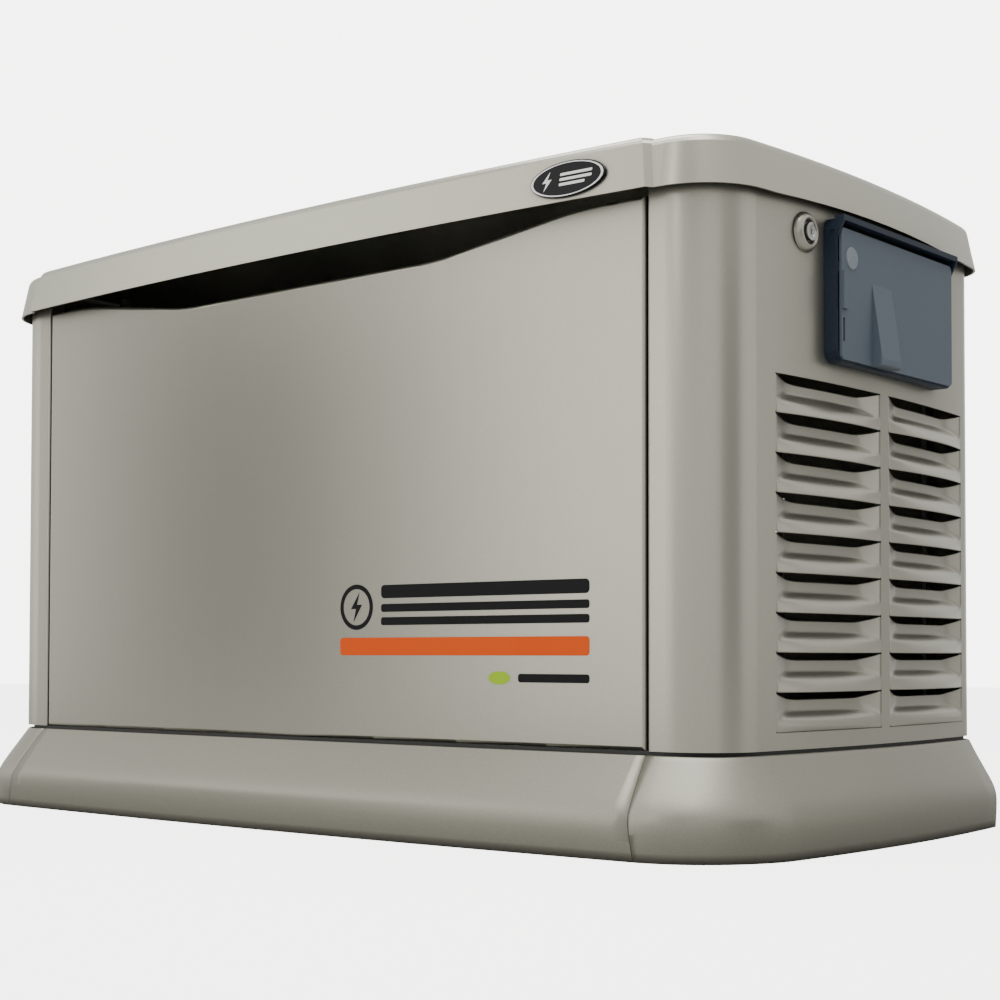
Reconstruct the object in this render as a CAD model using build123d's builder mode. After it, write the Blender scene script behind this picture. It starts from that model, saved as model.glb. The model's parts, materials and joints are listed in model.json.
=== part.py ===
from build123d import *

import os
from math import atan2, cos, pi, radians, sin, sqrt, tan

# Home standby generator: a V-twin engine and its alternator in a sheet-metal enclosure.
# X runs along the long front, +X being the control end; the front faces -Y; Z is up from the pad.
# The origin is the centre of the footprint, at pad level. All lengths are in millimetres.

# ---------------------------------------------------------------- enclosure sizes
SHEET = 2.0                # enclosure sheet
BODY_HALF_X = 584.0        # half length at the corners, before the ends' bow
BODY_BOW_X = 20.0          # how far each end bulges
BODY_FRONT_Y = -278.0      # front face at the corners
BODY_BOW_Y = 9.0           # how far the front bulges
BODY_REAR_Y = 287.0
BODY_R_FRONT = 70.0
BODY_R_REAR = 40.0
PANEL_BOTTOM = 106.0       # lower edge of the upright panels
PANEL_TOP = 690.0          # upper edge of the end and rear panels, inside the lid
SEAM_X = 502.0             # half width of the front opening
REAR_SEAM_X = 530.0        # half width of the rear panel
SEAM_GAP = 3.0
SEAM_EDGE_R = 3.0          # bend radius of the end panels at the front seams
FLANGE = 20.0              # return flanges of the sheet parts
MOVING_GAP = 0.3           # between pieces on different bodies

SKIRT_BOTTOM = 670.0       # lower edge of the lid
OVERALL_HEIGHT = 732.0
LID_EDGE_TOP = 724.0       # where the crowned top meets the skirt, before rounding
LID_HALF_X = 595.0
LID_BOW_X = 20.0
LID_FRONT_Y = -290.0
LID_BOW_Y = 24.0
LID_REAR_Y = 303.0
LID_R_FRONT = 82.0
LID_R_REAR = 55.0
LID_TAPER = 11.0           # degrees that the skirt leans in
LID_EDGE_R = 11.0
VISOR_HALF_X = 515.0       # the proud middle length of the lid's front
VISOR_PROUD = 7.0
END_ARCH = 5.0             # rise of the skirt's lower edge at each end

SCOOP_HALF_X = 418.0       # finger scoop in the front panel's upper edge
SCOOP_FLAT_X = 215.0       # half width of the scoop's lowest stretch
SCOOP_DEPTH = 28.0
SCOOP_BLEND_R = 450.0
FACE_EDGE_R = 4.0
FRONT_CLEAR = 1.7          # front panel below the closed lid's skirt
LID_WALL = 2.5
BAND_RISE = 2.5            # raised middle band of the lid's top
CROWN_RISE = OVERALL_HEIGHT - BAND_RISE - LID_EDGE_TOP
CROWN_STEPS = ((0.65, 90.0), (1.0, 200.0))     # share of the crown's rise, inset there

# ---------------------------------------------------------------- base sizes
FASCIA_TOP = 102.0
FASCIA_CREASE = 43.0
FASCIA_WALL = 3.0
FASCIA_LIP = 4.0           # how far its upper edge stands out from the panels
FLARE_END = 43.0
FLARE_FRONT = 48.0
FLARE_BOW = 8.0
FLARE_REAR = FLARE_FRONT + FLARE_BOW + BODY_BOW_Y - BODY_REAR_Y - BODY_FRONT_Y   # centres the base
FLARE_DRAFT = 3.0          # the lower band leans in by this at the ground
FASCIA_SEAM_TOP_X = 502.0
FASCIA_SEAM_BOTTOM_X = 517.0
FASCIA_SEAM_GAP = 0.8
PAN_INSET = 8.0            # pan wall behind the panel face
PAN_WALL = 2.5
PAN_FLOOR = 3.0
PAN_FLANGE = 18.0
PAD_BOLT_X = 1060.0        # spacing of the four pad bolts
PAD_BOLT_Y = 420.0
PAD_BOLT_R = 5.5

# ---------------------------------------------------------------- louvres
LOUVRE_PITCH = 40.7
LOUVRE_ROWS = 9
LOUVRE_TOP = 490.0
LOUVRE_COLUMNS = ((-187.0, 16.0), (35.0, 240.0))    # Y spans on the ends
REAR_LOUVRE_COLUMNS = ((-330.0, -127.0), (-108.0, 95.0), (114.0, 317.0))   # X spans on the rear
REAR_LOUVRE_ROWS = 6
LOUVRE_IN = 13.0           # the slat's top edge behind the sheet
LOUVRE_OUT = 11.0          # the slat's lip in front of the sheet
LOUVRE_GAP = 7.0           # open height under the lip above
LOUVRE_END = 46.0          # length of the sloped facet at each end
LOUVRE_FLARE = 15.0        # height of the flared lip
SLAT_SHRINK = 0.25         # keeps slat ends inside the sheet they join

# ---------------------------------------------------------------- viewing cover on the +X end
COVER_Y = (-101.0, 162.0)
COVER_Z = (510.0, 664.0)
COVER_R = 14.0
COVER_STAND = 13.0         # bezel wall height over the sheet's highest point
COVER_WALL = 3.0
DOOR_SIDE_GAP = 1.8        # lets the door's top corners turn inside the bezel's rounded ones
DOOR_THICK = 3.0
DOOR_TOP = 652.0
HOOD_OUT = 22.0            # how far the hood stands off the sheet
HOOD_UNDERSIDE = 658.0
DOOR_PIN_R = 2.5
DOOR_PIN_Z = 647.0
DOOR_PIN_BACK = 5.0        # pin axis behind the bezel's outer face
DOOR_KNUCKLE_R = 4.2
RUNNING = 0.06             # radial clearance of pins and journals
WINDOW_MARGIN = 16.0       # bezel width around the hole in the sheet
TONGUE_Y = (-31.0, 12.0)
TONGUE_TOP = 602.0
TONGUE_OUT = 12.0
LENS_Y, LENS_Z, LENS_R = -75.0, 622.0, 12.0

LOCK_Y, LOCK_Z = -135.0, 642.0
LOCK_PAD_R = 20.0
LOCK_FLANGE_R = 11.5
LOCK_BARREL_R = 9.5
LOCK_PLUG_R = 6.5
LOCK_DEPTH = 28.0
CAM_REACH = 34.0

# ---------------------------------------------------------------- lid hinge
HINGE_Y, HINGE_Z = 294.0, 666.0
HINGE_X = 380.0
HINGE_HALF = 40.0
HINGE_KNUCKLE_R = 5.0
HINGE_PIN_R = 2.5
WING_HALF = 13.5
LEAF_GAP = 0.5

# ---------------------------------------------------------------- power train
AXIS_Y, AXIS_Z = 15.0, 255.0
SHAFT_R = 20.0
CASE_X = (-235.0, -45.0)
CASE_BOTTOM = 95.0
SUMP_CHAMFER = 25.0
DECK = 95.0                # crank axis to cylinder deck
DECK_HALF = 62.0
BANK_ANGLE = 45.0
CASE_SIDE = (DECK + DECK_HALF) * cos(radians(BANK_ANGLE))     # half width of the crankcase
BANK_X = {-1: -155.0, 1: -125.0}     # front (-1) and rear (+1) cylinder centres
BORE_R = 45.0
BARREL_R = 54.0
BARREL_LENGTH = 90.0
HEAD_LENGTH = 48.0
COVER_LENGTH = 26.0
FIN_X, FIN_WIDTH, FIN_THICK, FIN_PITCH = 148.0, 128.0, 2.6, 9.0
FOOT_BOTTOM = 70.0         # underside of the power train's feet
FOOT_Y = (-125.0, 155.0)
ENGINE_FOOT_X = (-165.0, -115.0)
MOUNT_R = 24.0
RAIL_TOP = 40.0
RAIL_WIDTH = 70.0
RAIL_WALL = 2.5

ADAPTER_X = (-45.0, -5.0)
STATOR_X = (-5.0, 200.0)
CARRIER_X = (200.0, 240.0)
CAN_R, CAN_WALL = 115.0, 5.0
CORE_INNER_R = 70.6
ROTOR_R = 70.0
CORE_X = (28.0, 172.0)
EAR_HALF = 96.0
STUD_OFFSET = 87.0
STUD_R = 5.0
BEARING_R = 31.0
BEARING_X = (220.0, 237.0)
FOOT_CARRIER_X = (203.0, 237.0)

BLOWER_X = (-318.0, CASE_X[0])
BLOWER_R = 150.0
FLYWHEEL_X = (-304.0, -252.0)
FLYWHEEL_R = 130.0
INLET_R = 96.0

DIVIDER_X = -330.0
BULKHEAD_X = 290.0
MUFFLER_X, MUFFLER_Z = -462.0, 235.0
MUFFLER_RX, MUFFLER_RZ = 84.0, 92.0
MUFFLER_Y = (-190.0, 220.0)
PIPE_R = 17.0

TAIL_Y, TAIL_Z, TAIL_R, TAIL_HOLE_R = 60.0, 235.0, 22.0, 34.0      # exhaust outlet in the left end
PORT_HEIGHT = DECK + BARREL_LENGTH + HEAD_LENGTH / 2     # ports' distance from the crank axis
FUEL_INLET_X, FUEL_INLET_Z, FUEL_INLET_R = 260.0, 200.0, 13.0

BATTERY_X = (330.0, 538.0)
BATTERY_Y = (-246.0, -73.0)
BATTERY_Z = (20.0, 205.0)

BOX_X = (292.0, 540.0)     # control box
FACE_TILT = 30.0
FACE_LOW = (-238.0, 520.0) # lower edge (Y, Z) of the sloping control face
FACE_LENGTH = 138.0
FACE_THICK = 5.0
KEY_R = 9.0
KEY_TRAVEL = 1.5

os.makedirs("parts", exist_ok=True)


# ---------------------------------------------------------------- helpers
def save(piece, name):
    """Labels a finished piece and writes it as its own STEP file."""
    piece.part.label = name
    export_step(piece.part, f"parts/{name}.step")


def block(x, y, z, mode=Mode.ADD):
    """A box between pairs of limits, in the current part."""
    with Locations(((x[0] + x[1]) / 2, (y[0] + y[1]) / 2, (z[0] + z[1]) / 2)):
        return Box(x[1] - x[0], y[1] - y[0], z[1] - z[0], mode=mode)


def rod_x(x, y, z, radius, mode=Mode.ADD):
    """A cylinder along X between two limits."""
    with Locations(((x[0] + x[1]) / 2, y, z)):
        return Cylinder(radius, x[1] - x[0], rotation=(0, 90, 0), mode=mode)


def rod_y(x, y, z, radius, mode=Mode.ADD):
    """A cylinder along Y between two limits."""
    with Locations((x, (y[0] + y[1]) / 2, z)):
        return Cylinder(radius, y[1] - y[0], rotation=(90, 0, 0), mode=mode)


def rod_z(x, y, z, radius, mode=Mode.ADD):
    """A cylinder along Z between two limits."""
    with Locations((x, y, (z[0] + z[1]) / 2)):
        return Cylinder(radius, z[1] - z[0], mode=mode)


def outline(half_x, bow_x, front_y, bow_y, rear_y, r_front, r_rear):
    """A plan outline: bowed front and ends, flat rear, rounded corners."""
    middle = (front_y + rear_y) / 2
    with BuildSketch(mode=Mode.PRIVATE) as plan:
        with BuildLine():
            ThreePointArc((-half_x, front_y), (0, front_y - bow_y), (half_x, front_y))
            ThreePointArc((half_x, front_y), (half_x + bow_x, middle), (half_x, rear_y))
            Line((half_x, rear_y), (-half_x, rear_y))
            ThreePointArc((-half_x, rear_y), (-half_x - bow_x, middle), (-half_x, front_y))
        make_face()
        fillet(plan.vertices().group_by(Axis.Y)[0], r_front)
        fillet(plan.vertices().group_by(Axis.Y)[-1], r_rear)
    return plan.sketch


def body_plan(inset=0.0):
    """The upright panels' outer plan, moved in by inset."""
    return outline(BODY_HALF_X - inset, BODY_BOW_X, BODY_FRONT_Y + inset, BODY_BOW_Y,
                   BODY_REAR_Y - inset, BODY_R_FRONT - inset, BODY_R_REAR - inset)


def lid_plan(inset=0.0):
    """The lid's plan at its lower edge, moved in by inset."""
    return outline(LID_HALF_X - inset, LID_BOW_X, LID_FRONT_Y + inset, LID_BOW_Y,
                   LID_REAR_Y - inset, max(LID_R_FRONT - inset, 10), max(LID_R_REAR - inset, 10))


def prism(plan, bottom, top):
    """A plan sketch stood up between two heights."""
    with BuildPart(mode=Mode.PRIVATE) as solid:
        with BuildSketch(Plane.XY.offset(bottom)):
            add(plan)
        extrude(amount=top - bottom)
    return solid.part


def end_surface_x(y):
    """The panels' outer face on the +X end at a given Y, on the bow's arc."""
    half = (BODY_REAR_Y - BODY_FRONT_Y) / 2
    middle = (BODY_REAR_Y + BODY_FRONT_Y) / 2
    radius = (half**2 + BODY_BOW_X**2) / (2 * BODY_BOW_X)
    return BODY_HALF_X + BODY_BOW_X - radius + sqrt(radius**2 - (y - middle) ** 2)


END_X = BODY_HALF_X + BODY_BOW_X      # the panels' furthest point on the ends
COVER_FACE = END_X + COVER_STAND      # outer face of the bezel, where the door lies


def slat(span, top, surface, plane_at):
    """One pressed louvre slat between two ends of a column, as a loft of its cross-sections."""
    bottom = top - LOUVRE_PITCH
    start, end = span
    stations = ((start - 1.0, 0.0), (start, 0.0), (start + LOUVRE_END, 1.0),
                (end - LOUVRE_END, 1.0), (end, 0.0), (end + 1.0, 0.0))
    sections = []
    for place, press in stations:
        face = surface(place)
        drop = LOUVRE_GAP * press
        upper = (face - LOUVRE_IN * press - SLAT_SHRINK, top - drop - 0.6)
        waist = (face - (LOUVRE_IN - 3) * press - 2 * SLAT_SHRINK, bottom + LOUVRE_FLARE)
        lip = (face + LOUVRE_OUT * press - SLAT_SHRINK, bottom + 0.6)
        thick = SHEET - 3 * SLAT_SHRINK
        points = [upper, waist, lip] + [(u - thick, z) for u, z in (lip, waist, upper)]
        with BuildSketch(plane_at(place), mode=Mode.PRIVATE) as section:
            with BuildLine():
                Polyline(*points, close=True)
            make_face()
        sections.append(section.sketch)
    with BuildPart(mode=Mode.PRIVATE) as blade:
        loft(sections, ruled=True)
    return blade.part


def end_slats():
    """The pressed slats of the +X end, two columns of them."""
    def plane_at(y):
        return Plane(origin=(0, y, 0), x_dir=(1, 0, 0), z_dir=(0, -1, 0))
    return [slat(span, LOUVRE_TOP - row * LOUVRE_PITCH, end_surface_x, plane_at)
            for span in LOUVRE_COLUMNS for row in range(LOUVRE_ROWS)]


def rear_slats():
    """The pressed slats of the rear panel, three columns."""
    def plane_at(x):
        return Plane(origin=(x, 0, 0), x_dir=(0, 1, 0), z_dir=(1, 0, 0))
    return [slat(span, LOUVRE_TOP - row * LOUVRE_PITCH, lambda x: BODY_REAR_Y, plane_at)
            for span in REAR_LOUVRE_COLUMNS for row in range(REAR_LOUVRE_ROWS)]


BODY_SOLID = prism(body_plan(), PANEL_BOTTOM, PANEL_TOP)


# ---------------------------------------------------------------- base pan
with BuildPart() as base_pan:
    add(prism(body_plan(PAN_INSET), 0, PANEL_BOTTOM))
    add(prism(body_plan(PAN_INSET + PAN_WALL), PAN_FLOOR, PANEL_BOTTOM - PAN_WALL), mode=Mode.SUBTRACT)
    add(prism(body_plan(PAN_INSET + PAN_FLANGE), PAN_FLOOR, PANEL_BOTTOM), mode=Mode.SUBTRACT)
    with GridLocations(PAD_BOLT_X, PAD_BOLT_Y, 2, 2):
        Cylinder(PAD_BOLT_R, 2 * PAN_FLOOR, mode=Mode.SUBTRACT)
    for rib in (BATTERY_X[0] + 30, BATTERY_X[1] - 30):      # hat ribs under the battery
        block((rib - 15, rib + 15), BATTERY_Y, (PAN_FLOOR, BATTERY_Z[0]))
    # entries in the floor for the gas pipe and the wiring conduits
    for entry_x, entry_radius in ((430.0, 17.0), (490.0, 17.0)):
        with Locations((entry_x, 120.0, 0)):
            Cylinder(entry_radius, 4 * PAN_FLOOR, mode=Mode.SUBTRACT)
save(base_pan, "base_pan")


# ---------------------------------------------------------------- base fascia
def fascia_plan(height, inset=0.0):
    """The fascia's outer plan at its top edge, at its crease or at the ground."""
    share = {FASCIA_TOP: 0.0, FASCIA_CREASE: 1.0, 0.0: 1.0}[height]
    draft = FLARE_DRAFT if height == 0.0 else 0.0
    lip = FASCIA_LIP * (1 - share)
    grow_end = lip + FLARE_END * share - draft - inset
    grow_front = lip + FLARE_FRONT * share - draft - inset
    grow_rear = lip + FLARE_REAR * share - draft - inset
    return outline(BODY_HALF_X + grow_end, BODY_BOW_X, BODY_FRONT_Y - grow_front,
                   BODY_BOW_Y + FLARE_BOW * share, BODY_REAR_Y + grow_rear,
                   BODY_R_FRONT + grow_end, BODY_R_REAR + grow_end)


def flare(inset):
    """The fascia's flared volume, as two ruled lofts between its three outlines."""
    with BuildPart(mode=Mode.PRIVATE) as solid:
        for low, high in ((0.0, FASCIA_CREASE), (FASCIA_CREASE, FASCIA_TOP)):
            with BuildSketch(Plane.XY.offset(low)):
                add(fascia_plan(low, inset))
            with BuildSketch(Plane.XY.offset(high)):
                add(fascia_plan(high, inset))
            loft(ruled=True)
    return solid.part


with BuildPart(mode=Mode.PRIVATE) as fascia_ring:
    add(flare(0.0))
    inner = flare(FASCIA_WALL)
    with BuildPart(mode=Mode.PRIVATE) as hollow:
        add(inner)
        block((-700, 700), (-400, 400), (FASCIA_TOP - FASCIA_WALL, FASCIA_TOP), mode=Mode.SUBTRACT)
    add(hollow.part, mode=Mode.SUBTRACT)
    add(prism(body_plan(PAN_INSET), 0, FASCIA_TOP), mode=Mode.SUBTRACT)

with BuildPart(mode=Mode.PRIVATE) as front_wedge:          # everything between the two front seams
    with BuildSketch(Plane.XZ.offset(0)):
        Polygon((-FASCIA_SEAM_TOP_X, FASCIA_TOP), (FASCIA_SEAM_TOP_X, FASCIA_TOP),
                (FASCIA_SEAM_BOTTOM_X, 0), (-FASCIA_SEAM_BOTTOM_X, 0), align=None)
    extrude(amount=400)
with BuildPart(mode=Mode.PRIVATE) as front_kerf:
    with BuildSketch(Plane.XZ.offset(0)):
        offset_x = FASCIA_SEAM_GAP
        Polygon((-FASCIA_SEAM_TOP_X - offset_x, FASCIA_TOP), (FASCIA_SEAM_TOP_X + offset_x, FASCIA_TOP),
                (FASCIA_SEAM_BOTTOM_X + offset_x, 0), (-FASCIA_SEAM_BOTTOM_X - offset_x, 0), align=None)
    extrude(amount=400)

with BuildPart() as fascia_front:
    add(fascia_ring.part)
    add(front_wedge.part, mode=Mode.INTERSECT)
save(fascia_front, "fascia_front")

with BuildPart() as fascia_rear:
    add(fascia_ring.part)
    block((-REAR_SEAM_X, REAR_SEAM_X), (0, 400), (0, FASCIA_TOP), mode=Mode.INTERSECT)
save(fascia_rear, "fascia_rear")

for side, name in ((1, "fascia_right"), (-1, "fascia_left")):
    with BuildPart() as fascia_end:
        add(fascia_ring.part)
        add(front_kerf.part, mode=Mode.SUBTRACT)
        rear_kerf = REAR_SEAM_X + FASCIA_SEAM_GAP
        block((-rear_kerf, rear_kerf), (0, 400), (0, FASCIA_TOP), mode=Mode.SUBTRACT)
        ends = (0, 700) if side > 0 else (-700, 0)
        block(ends, (-400, 400), (0, FASCIA_TOP), mode=Mode.INTERSECT)
    save(fascia_end, name)


# ---------------------------------------------------------------- upright panels
with BuildPart(mode=Mode.PRIVATE) as panel_ring:
    add(BODY_SOLID)
    add(prism(body_plan(SHEET), PANEL_BOTTOM + SHEET, PANEL_TOP - SHEET), mode=Mode.SUBTRACT)
    add(prism(body_plan(SHEET + FLANGE), PANEL_BOTTOM, PANEL_TOP), mode=Mode.SUBTRACT)

WINDOW_Y = (COVER_Y[0] + WINDOW_MARGIN, COVER_Y[1] - WINDOW_MARGIN)
WINDOW_Z = (COVER_Z[0] + WINDOW_MARGIN, COVER_Z[1] - 2 * WINDOW_MARGIN)
LOCK_FACE = end_surface_x(LOCK_Y) + 1.5        # flat pad that the lock's flange seats on


def end_panel():
    """The +X end panel before its louvres: corner, end and rear corner in one bent sheet."""
    with BuildPart(mode=Mode.PRIVATE) as shell:
        add(panel_ring.part)
        block((-SEAM_X, SEAM_X), (BODY_FRONT_Y - 40, 0), (0, 800), mode=Mode.SUBTRACT)
        block((-REAR_SEAM_X, REAR_SEAM_X), (0, BODY_REAR_Y + 10), (0, 800), mode=Mode.SUBTRACT)
        block((0, 700), (-400, 400), (0, 800), mode=Mode.INTERSECT)
        with BuildPart(mode=Mode.PRIVATE) as seam_flanges:
            block((SEAM_X, SEAM_X + SHEET), (BODY_FRONT_Y - 20, BODY_FRONT_Y + FLANGE),
                  (PANEL_BOTTOM, PANEL_TOP))
            block((REAR_SEAM_X, REAR_SEAM_X + SHEET), (BODY_REAR_Y - FLANGE, BODY_REAR_Y),
                  (PANEL_BOTTOM, PANEL_TOP))
            add(BODY_SOLID, mode=Mode.INTERSECT)
        add(seam_flanges.part)
        with BuildPart(mode=Mode.PRIVATE) as lock_pad:
            rod_x((END_X - 30, LOCK_FACE), LOCK_Y, LOCK_Z, LOCK_PAD_R)
            add(prism(body_plan(SHEET / 2), PANEL_BOTTOM, PANEL_TOP), mode=Mode.SUBTRACT)
        add(lock_pad.part)
        rod_x((END_X - 40, END_X + 20), LOCK_Y, LOCK_Z, LOCK_BARREL_R, mode=Mode.SUBTRACT)
        seam_edges = shell.edges().filter_by(Axis.Z).filter_by_position(Axis.X, SEAM_X - 0.1, SEAM_X + 0.1)
        fillet(seam_edges.sort_by(Axis.Y)[0], SEAM_EDGE_R)
    return shell.part


END_SHELL = end_panel()
with BuildPart() as right_end_panel:
    add(END_SHELL)
    for column in LOUVRE_COLUMNS:
        block((END_X - 80, END_X + 20), column, (LOUVRE_TOP - LOUVRE_ROWS * LOUVRE_PITCH, LOUVRE_TOP),
              mode=Mode.SUBTRACT)
    block((END_X - 80, END_X + 20), WINDOW_Y, WINDOW_Z, mode=Mode.SUBTRACT)
    for blade in end_slats():
        add(blade)
save(right_end_panel, "right_end_panel")

with BuildPart() as left_end_panel:
    add(mirror(END_SHELL, about=Plane.YZ))
    for row in range(6):                                # plain ventilation slots
        block((-END_X - 20, -END_X + 80), (40, 220), (470 - row * 34, 482 - row * 34), mode=Mode.SUBTRACT)
    rod_x((-END_X - 20, -END_X + 80), TAIL_Y, TAIL_Z, TAIL_HOLE_R, mode=Mode.SUBTRACT)
save(left_end_panel, "left_end_panel")

with BuildPart() as rear_panel:
    with BuildPart(mode=Mode.PRIVATE) as rear_tray:
        rear_half = REAR_SEAM_X - SEAM_GAP
        block((-rear_half, rear_half), (BODY_REAR_Y - FLANGE - SHEET, BODY_REAR_Y), (PANEL_BOTTOM, PANEL_TOP))
        block((-rear_half + SHEET, rear_half - SHEET), (BODY_REAR_Y - FLANGE - SHEET, BODY_REAR_Y - SHEET),
              (PANEL_BOTTOM + SHEET, PANEL_TOP - SHEET), mode=Mode.SUBTRACT)
    add(rear_tray.part)
    for column in REAR_LOUVRE_COLUMNS:
        block(column, (BODY_REAR_Y - SHEET - 1, BODY_REAR_Y + 1),
              (LOUVRE_TOP - REAR_LOUVRE_ROWS * LOUVRE_PITCH, LOUVRE_TOP), mode=Mode.SUBTRACT)
    for blade in rear_slats():
        add(blade)
    rod_y(FUEL_INLET_X, (BODY_REAR_Y - 30, BODY_REAR_Y + 5), FUEL_INLET_Z, FUEL_INLET_R + 4,
          mode=Mode.SUBTRACT)
save(rear_panel, "rear_panel")


# ---------------------------------------------------------------- front panel
FRONT_TOP = SKIRT_BOTTOM - FRONT_CLEAR
FRONT_HALF = SEAM_X - SEAM_GAP


def front_profile(inset):
    """The front panel's outline seen from the front, with the finger scoop in its upper edge."""
    half, low, high = FRONT_HALF - inset, PANEL_BOTTOM + MOVING_GAP + inset, FRONT_TOP - inset
    dip = high - SCOOP_DEPTH
    with BuildSketch(Plane.XZ, mode=Mode.PRIVATE) as face:
        with BuildLine():
            FilletPolyline((half, high), (SCOOP_HALF_X, high), (SCOOP_FLAT_X, dip), (-SCOOP_FLAT_X, dip),
                           (-SCOOP_HALF_X, high), (-half, high), radius=SCOOP_BLEND_R)
            Polyline((-half, high), (-half, low), (half, low), (half, high))
        make_face()
    return face.sketch


with BuildPart() as front_panel:
    with BuildPart(mode=Mode.PRIVATE) as front_blank:
        add(extrude(front_profile(0.0), amount=500))
        add(prism(body_plan(), PANEL_BOTTOM, PANEL_TOP), mode=Mode.INTERSECT)
        block((-600, 600), (BODY_FRONT_Y - 30, BODY_FRONT_Y + FLANGE), (0, 800), mode=Mode.INTERSECT)
        fillet(front_blank.faces().sort_by(Axis.Y)[0].edges(), FACE_EDGE_R)
    add(front_blank.part)
    with BuildPart(mode=Mode.PRIVATE) as front_void:
        add(extrude(front_profile(SHEET), amount=500))
        add(prism(body_plan(SHEET), PANEL_BOTTOM - 50, PANEL_TOP + 50), mode=Mode.INTERSECT)
        block((-600, 600), (BODY_FRONT_Y - 30, BODY_FRONT_Y + FLANGE + 5), (0, 800), mode=Mode.INTERSECT)
    add(front_void.part, mode=Mode.SUBTRACT)
save(front_panel, "front_panel")


# ---------------------------------------------------------------- lid
def lid_sections(inset, top):
    """Heights and insets of the lid's cross-sections: leaning skirt, rounded edge, low crown."""
    lean = radians(LID_TAPER)
    middle_z = top - LID_EDGE_R
    middle_in = LID_EDGE_R * cos(lean) + (middle_z + LID_EDGE_R * sin(lean) - SKIRT_BOTTOM) * tan(lean)
    sections = [(SKIRT_BOTTOM, 0.0)]
    for angle in (LID_TAPER, 30, 50, 70, 90):
        turn = radians(angle)
        sections.append((middle_z + LID_EDGE_R * sin(turn), middle_in - LID_EDGE_R * cos(turn)))
    sections += [(top + CROWN_RISE * share, shrink) for share, shrink in CROWN_STEPS]
    return [(height, shrink + inset) for height, shrink in sections]


def stacked(plan, sections):
    """Ruled lofts between one plan's insets at rising heights."""
    with BuildPart(mode=Mode.PRIVATE) as solid:
        for (low, low_inset), (high, high_inset) in zip(sections, sections[1:]):
            with BuildSketch(Plane.XY.offset(low)):
                add(plan(low_inset))
            with BuildSketch(Plane.XY.offset(high)):
                add(plan(high_inset))
            loft(ruled=True)
    return solid.part


def front_arc_y(x, half, front, bow):
    """Y of a bowed front edge at a given X."""
    radius = (half**2 + bow**2) / (2 * bow)
    return front - bow + radius - sqrt(radius**2 - x**2)


def band_plan(inset):
    """Plan of the proud middle band: bowed front edge and sloping sides."""
    corner = front_arc_y(VISOR_HALF_X, LID_HALF_X, LID_FRONT_Y, LID_BOW_Y) - VISOR_PROUD + inset
    middle = LID_FRONT_Y - LID_BOW_Y - VISOR_PROUD + inset
    half = VISOR_HALF_X - inset
    with BuildSketch(mode=Mode.PRIVATE) as plan:
        with BuildLine():
            ThreePointArc((-half, corner), (0, middle), (half, corner))
            Polyline((half, corner), (half + VISOR_PROUD, corner + VISOR_PROUD + 2),
                     (half + VISOR_PROUD, LID_REAR_Y - inset), (-half - VISOR_PROUD, LID_REAR_Y - inset),
                     (-half - VISOR_PROUD, corner + VISOR_PROUD + 2), (-half, corner))
        make_face()
    return plan.sketch


def lid_volume(inset):
    """The lid's outer volume, or the void inside it when inset by the wall."""
    with BuildPart(mode=Mode.PRIVATE) as volume:
        add(stacked(lid_plan, lid_sections(inset, LID_EDGE_TOP - inset)))
        add(stacked(band_plan, lid_sections(inset, LID_EDGE_TOP + BAND_RISE - inset)))
    return volume.part


LID_VOID = lid_volume(LID_WALL)
with BuildPart() as lid:
    add(lid_volume(0.0))
    add(LID_VOID, mode=Mode.SUBTRACT)
    with BuildPart(mode=Mode.PRIVATE) as arches:            # the skirt's lower edge rises on the ends
        with BuildSketch(Plane.YZ.offset(-700)):
            with BuildLine():
                ThreePointArc((-200, SKIRT_BOTTOM), (0, SKIRT_BOTTOM + END_ARCH), (200, SKIRT_BOTTOM))
                Line((200, SKIRT_BOTTOM), (-200, SKIRT_BOTTOM))
            make_face()
        extrude(amount=1400)
    add(arches.part, mode=Mode.SUBTRACT)
save(lid, "lid")


# ---------------------------------------------------------------- lid badge, keepers and hinges
BADGE_X, BADGE_Z, BADGE_SIZE, BADGE_PROUD = 420.0, 693.0, (47.0, 20.0), 3.0
with BuildPart() as lid_badge:
    lean = radians(LID_TAPER)
    turn = atan2(BADGE_X, (LID_HALF_X**2 + LID_BOW_Y**2) / (2 * LID_BOW_Y))
    badge_y = (front_arc_y(BADGE_X, LID_HALF_X, LID_FRONT_Y, LID_BOW_Y) - VISOR_PROUD
               + (BADGE_Z - SKIRT_BOTTOM) * tan(lean))
    badge_normal = (sin(turn) * cos(lean), -cos(turn) * cos(lean), sin(lean))
    badge_plane = Plane(origin=(BADGE_X, badge_y, BADGE_Z), x_dir=(cos(turn), sin(turn), 0),
                        z_dir=badge_normal)
    with BuildSketch(badge_plane.offset(-BADGE_PROUD)):
        Ellipse(*BADGE_SIZE)
    extrude(amount=2 * BADGE_PROUD)
    chamfer(lid_badge.faces().sort_by(Axis.Y)[0].edges(), 0.8)
    add(lid_volume(0.0), mode=Mode.SUBTRACT)
save(lid_badge, "lid_badge")

KEEPER_Y = (LOCK_Y + 18, LOCK_Y + CAM_REACH)
CAM_X = LOCK_FACE - LOCK_DEPTH - 6
with BuildPart() as lid_keepers:
    block((CAM_X - 7, CAM_X - 4), KEEPER_Y, (LOCK_Z - 17, LID_EDGE_TOP - LID_WALL / 2))
    block((CAM_X - 7, CAM_X + 9), KEEPER_Y, (LOCK_Z - 17, LOCK_Z - 14))
    add(lid.part, mode=Mode.SUBTRACT)
    mirror(about=Plane.YZ)
save(lid_keepers, "lid_keepers")

LEAN_SLOPE = tan(radians(LID_TAPER))


def skirt_inner_y(height):
    """Y of the rear skirt's inner face."""
    return LID_REAR_Y - LID_WALL - (height - SKIRT_BOTTOM) * LEAN_SLOPE


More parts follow.
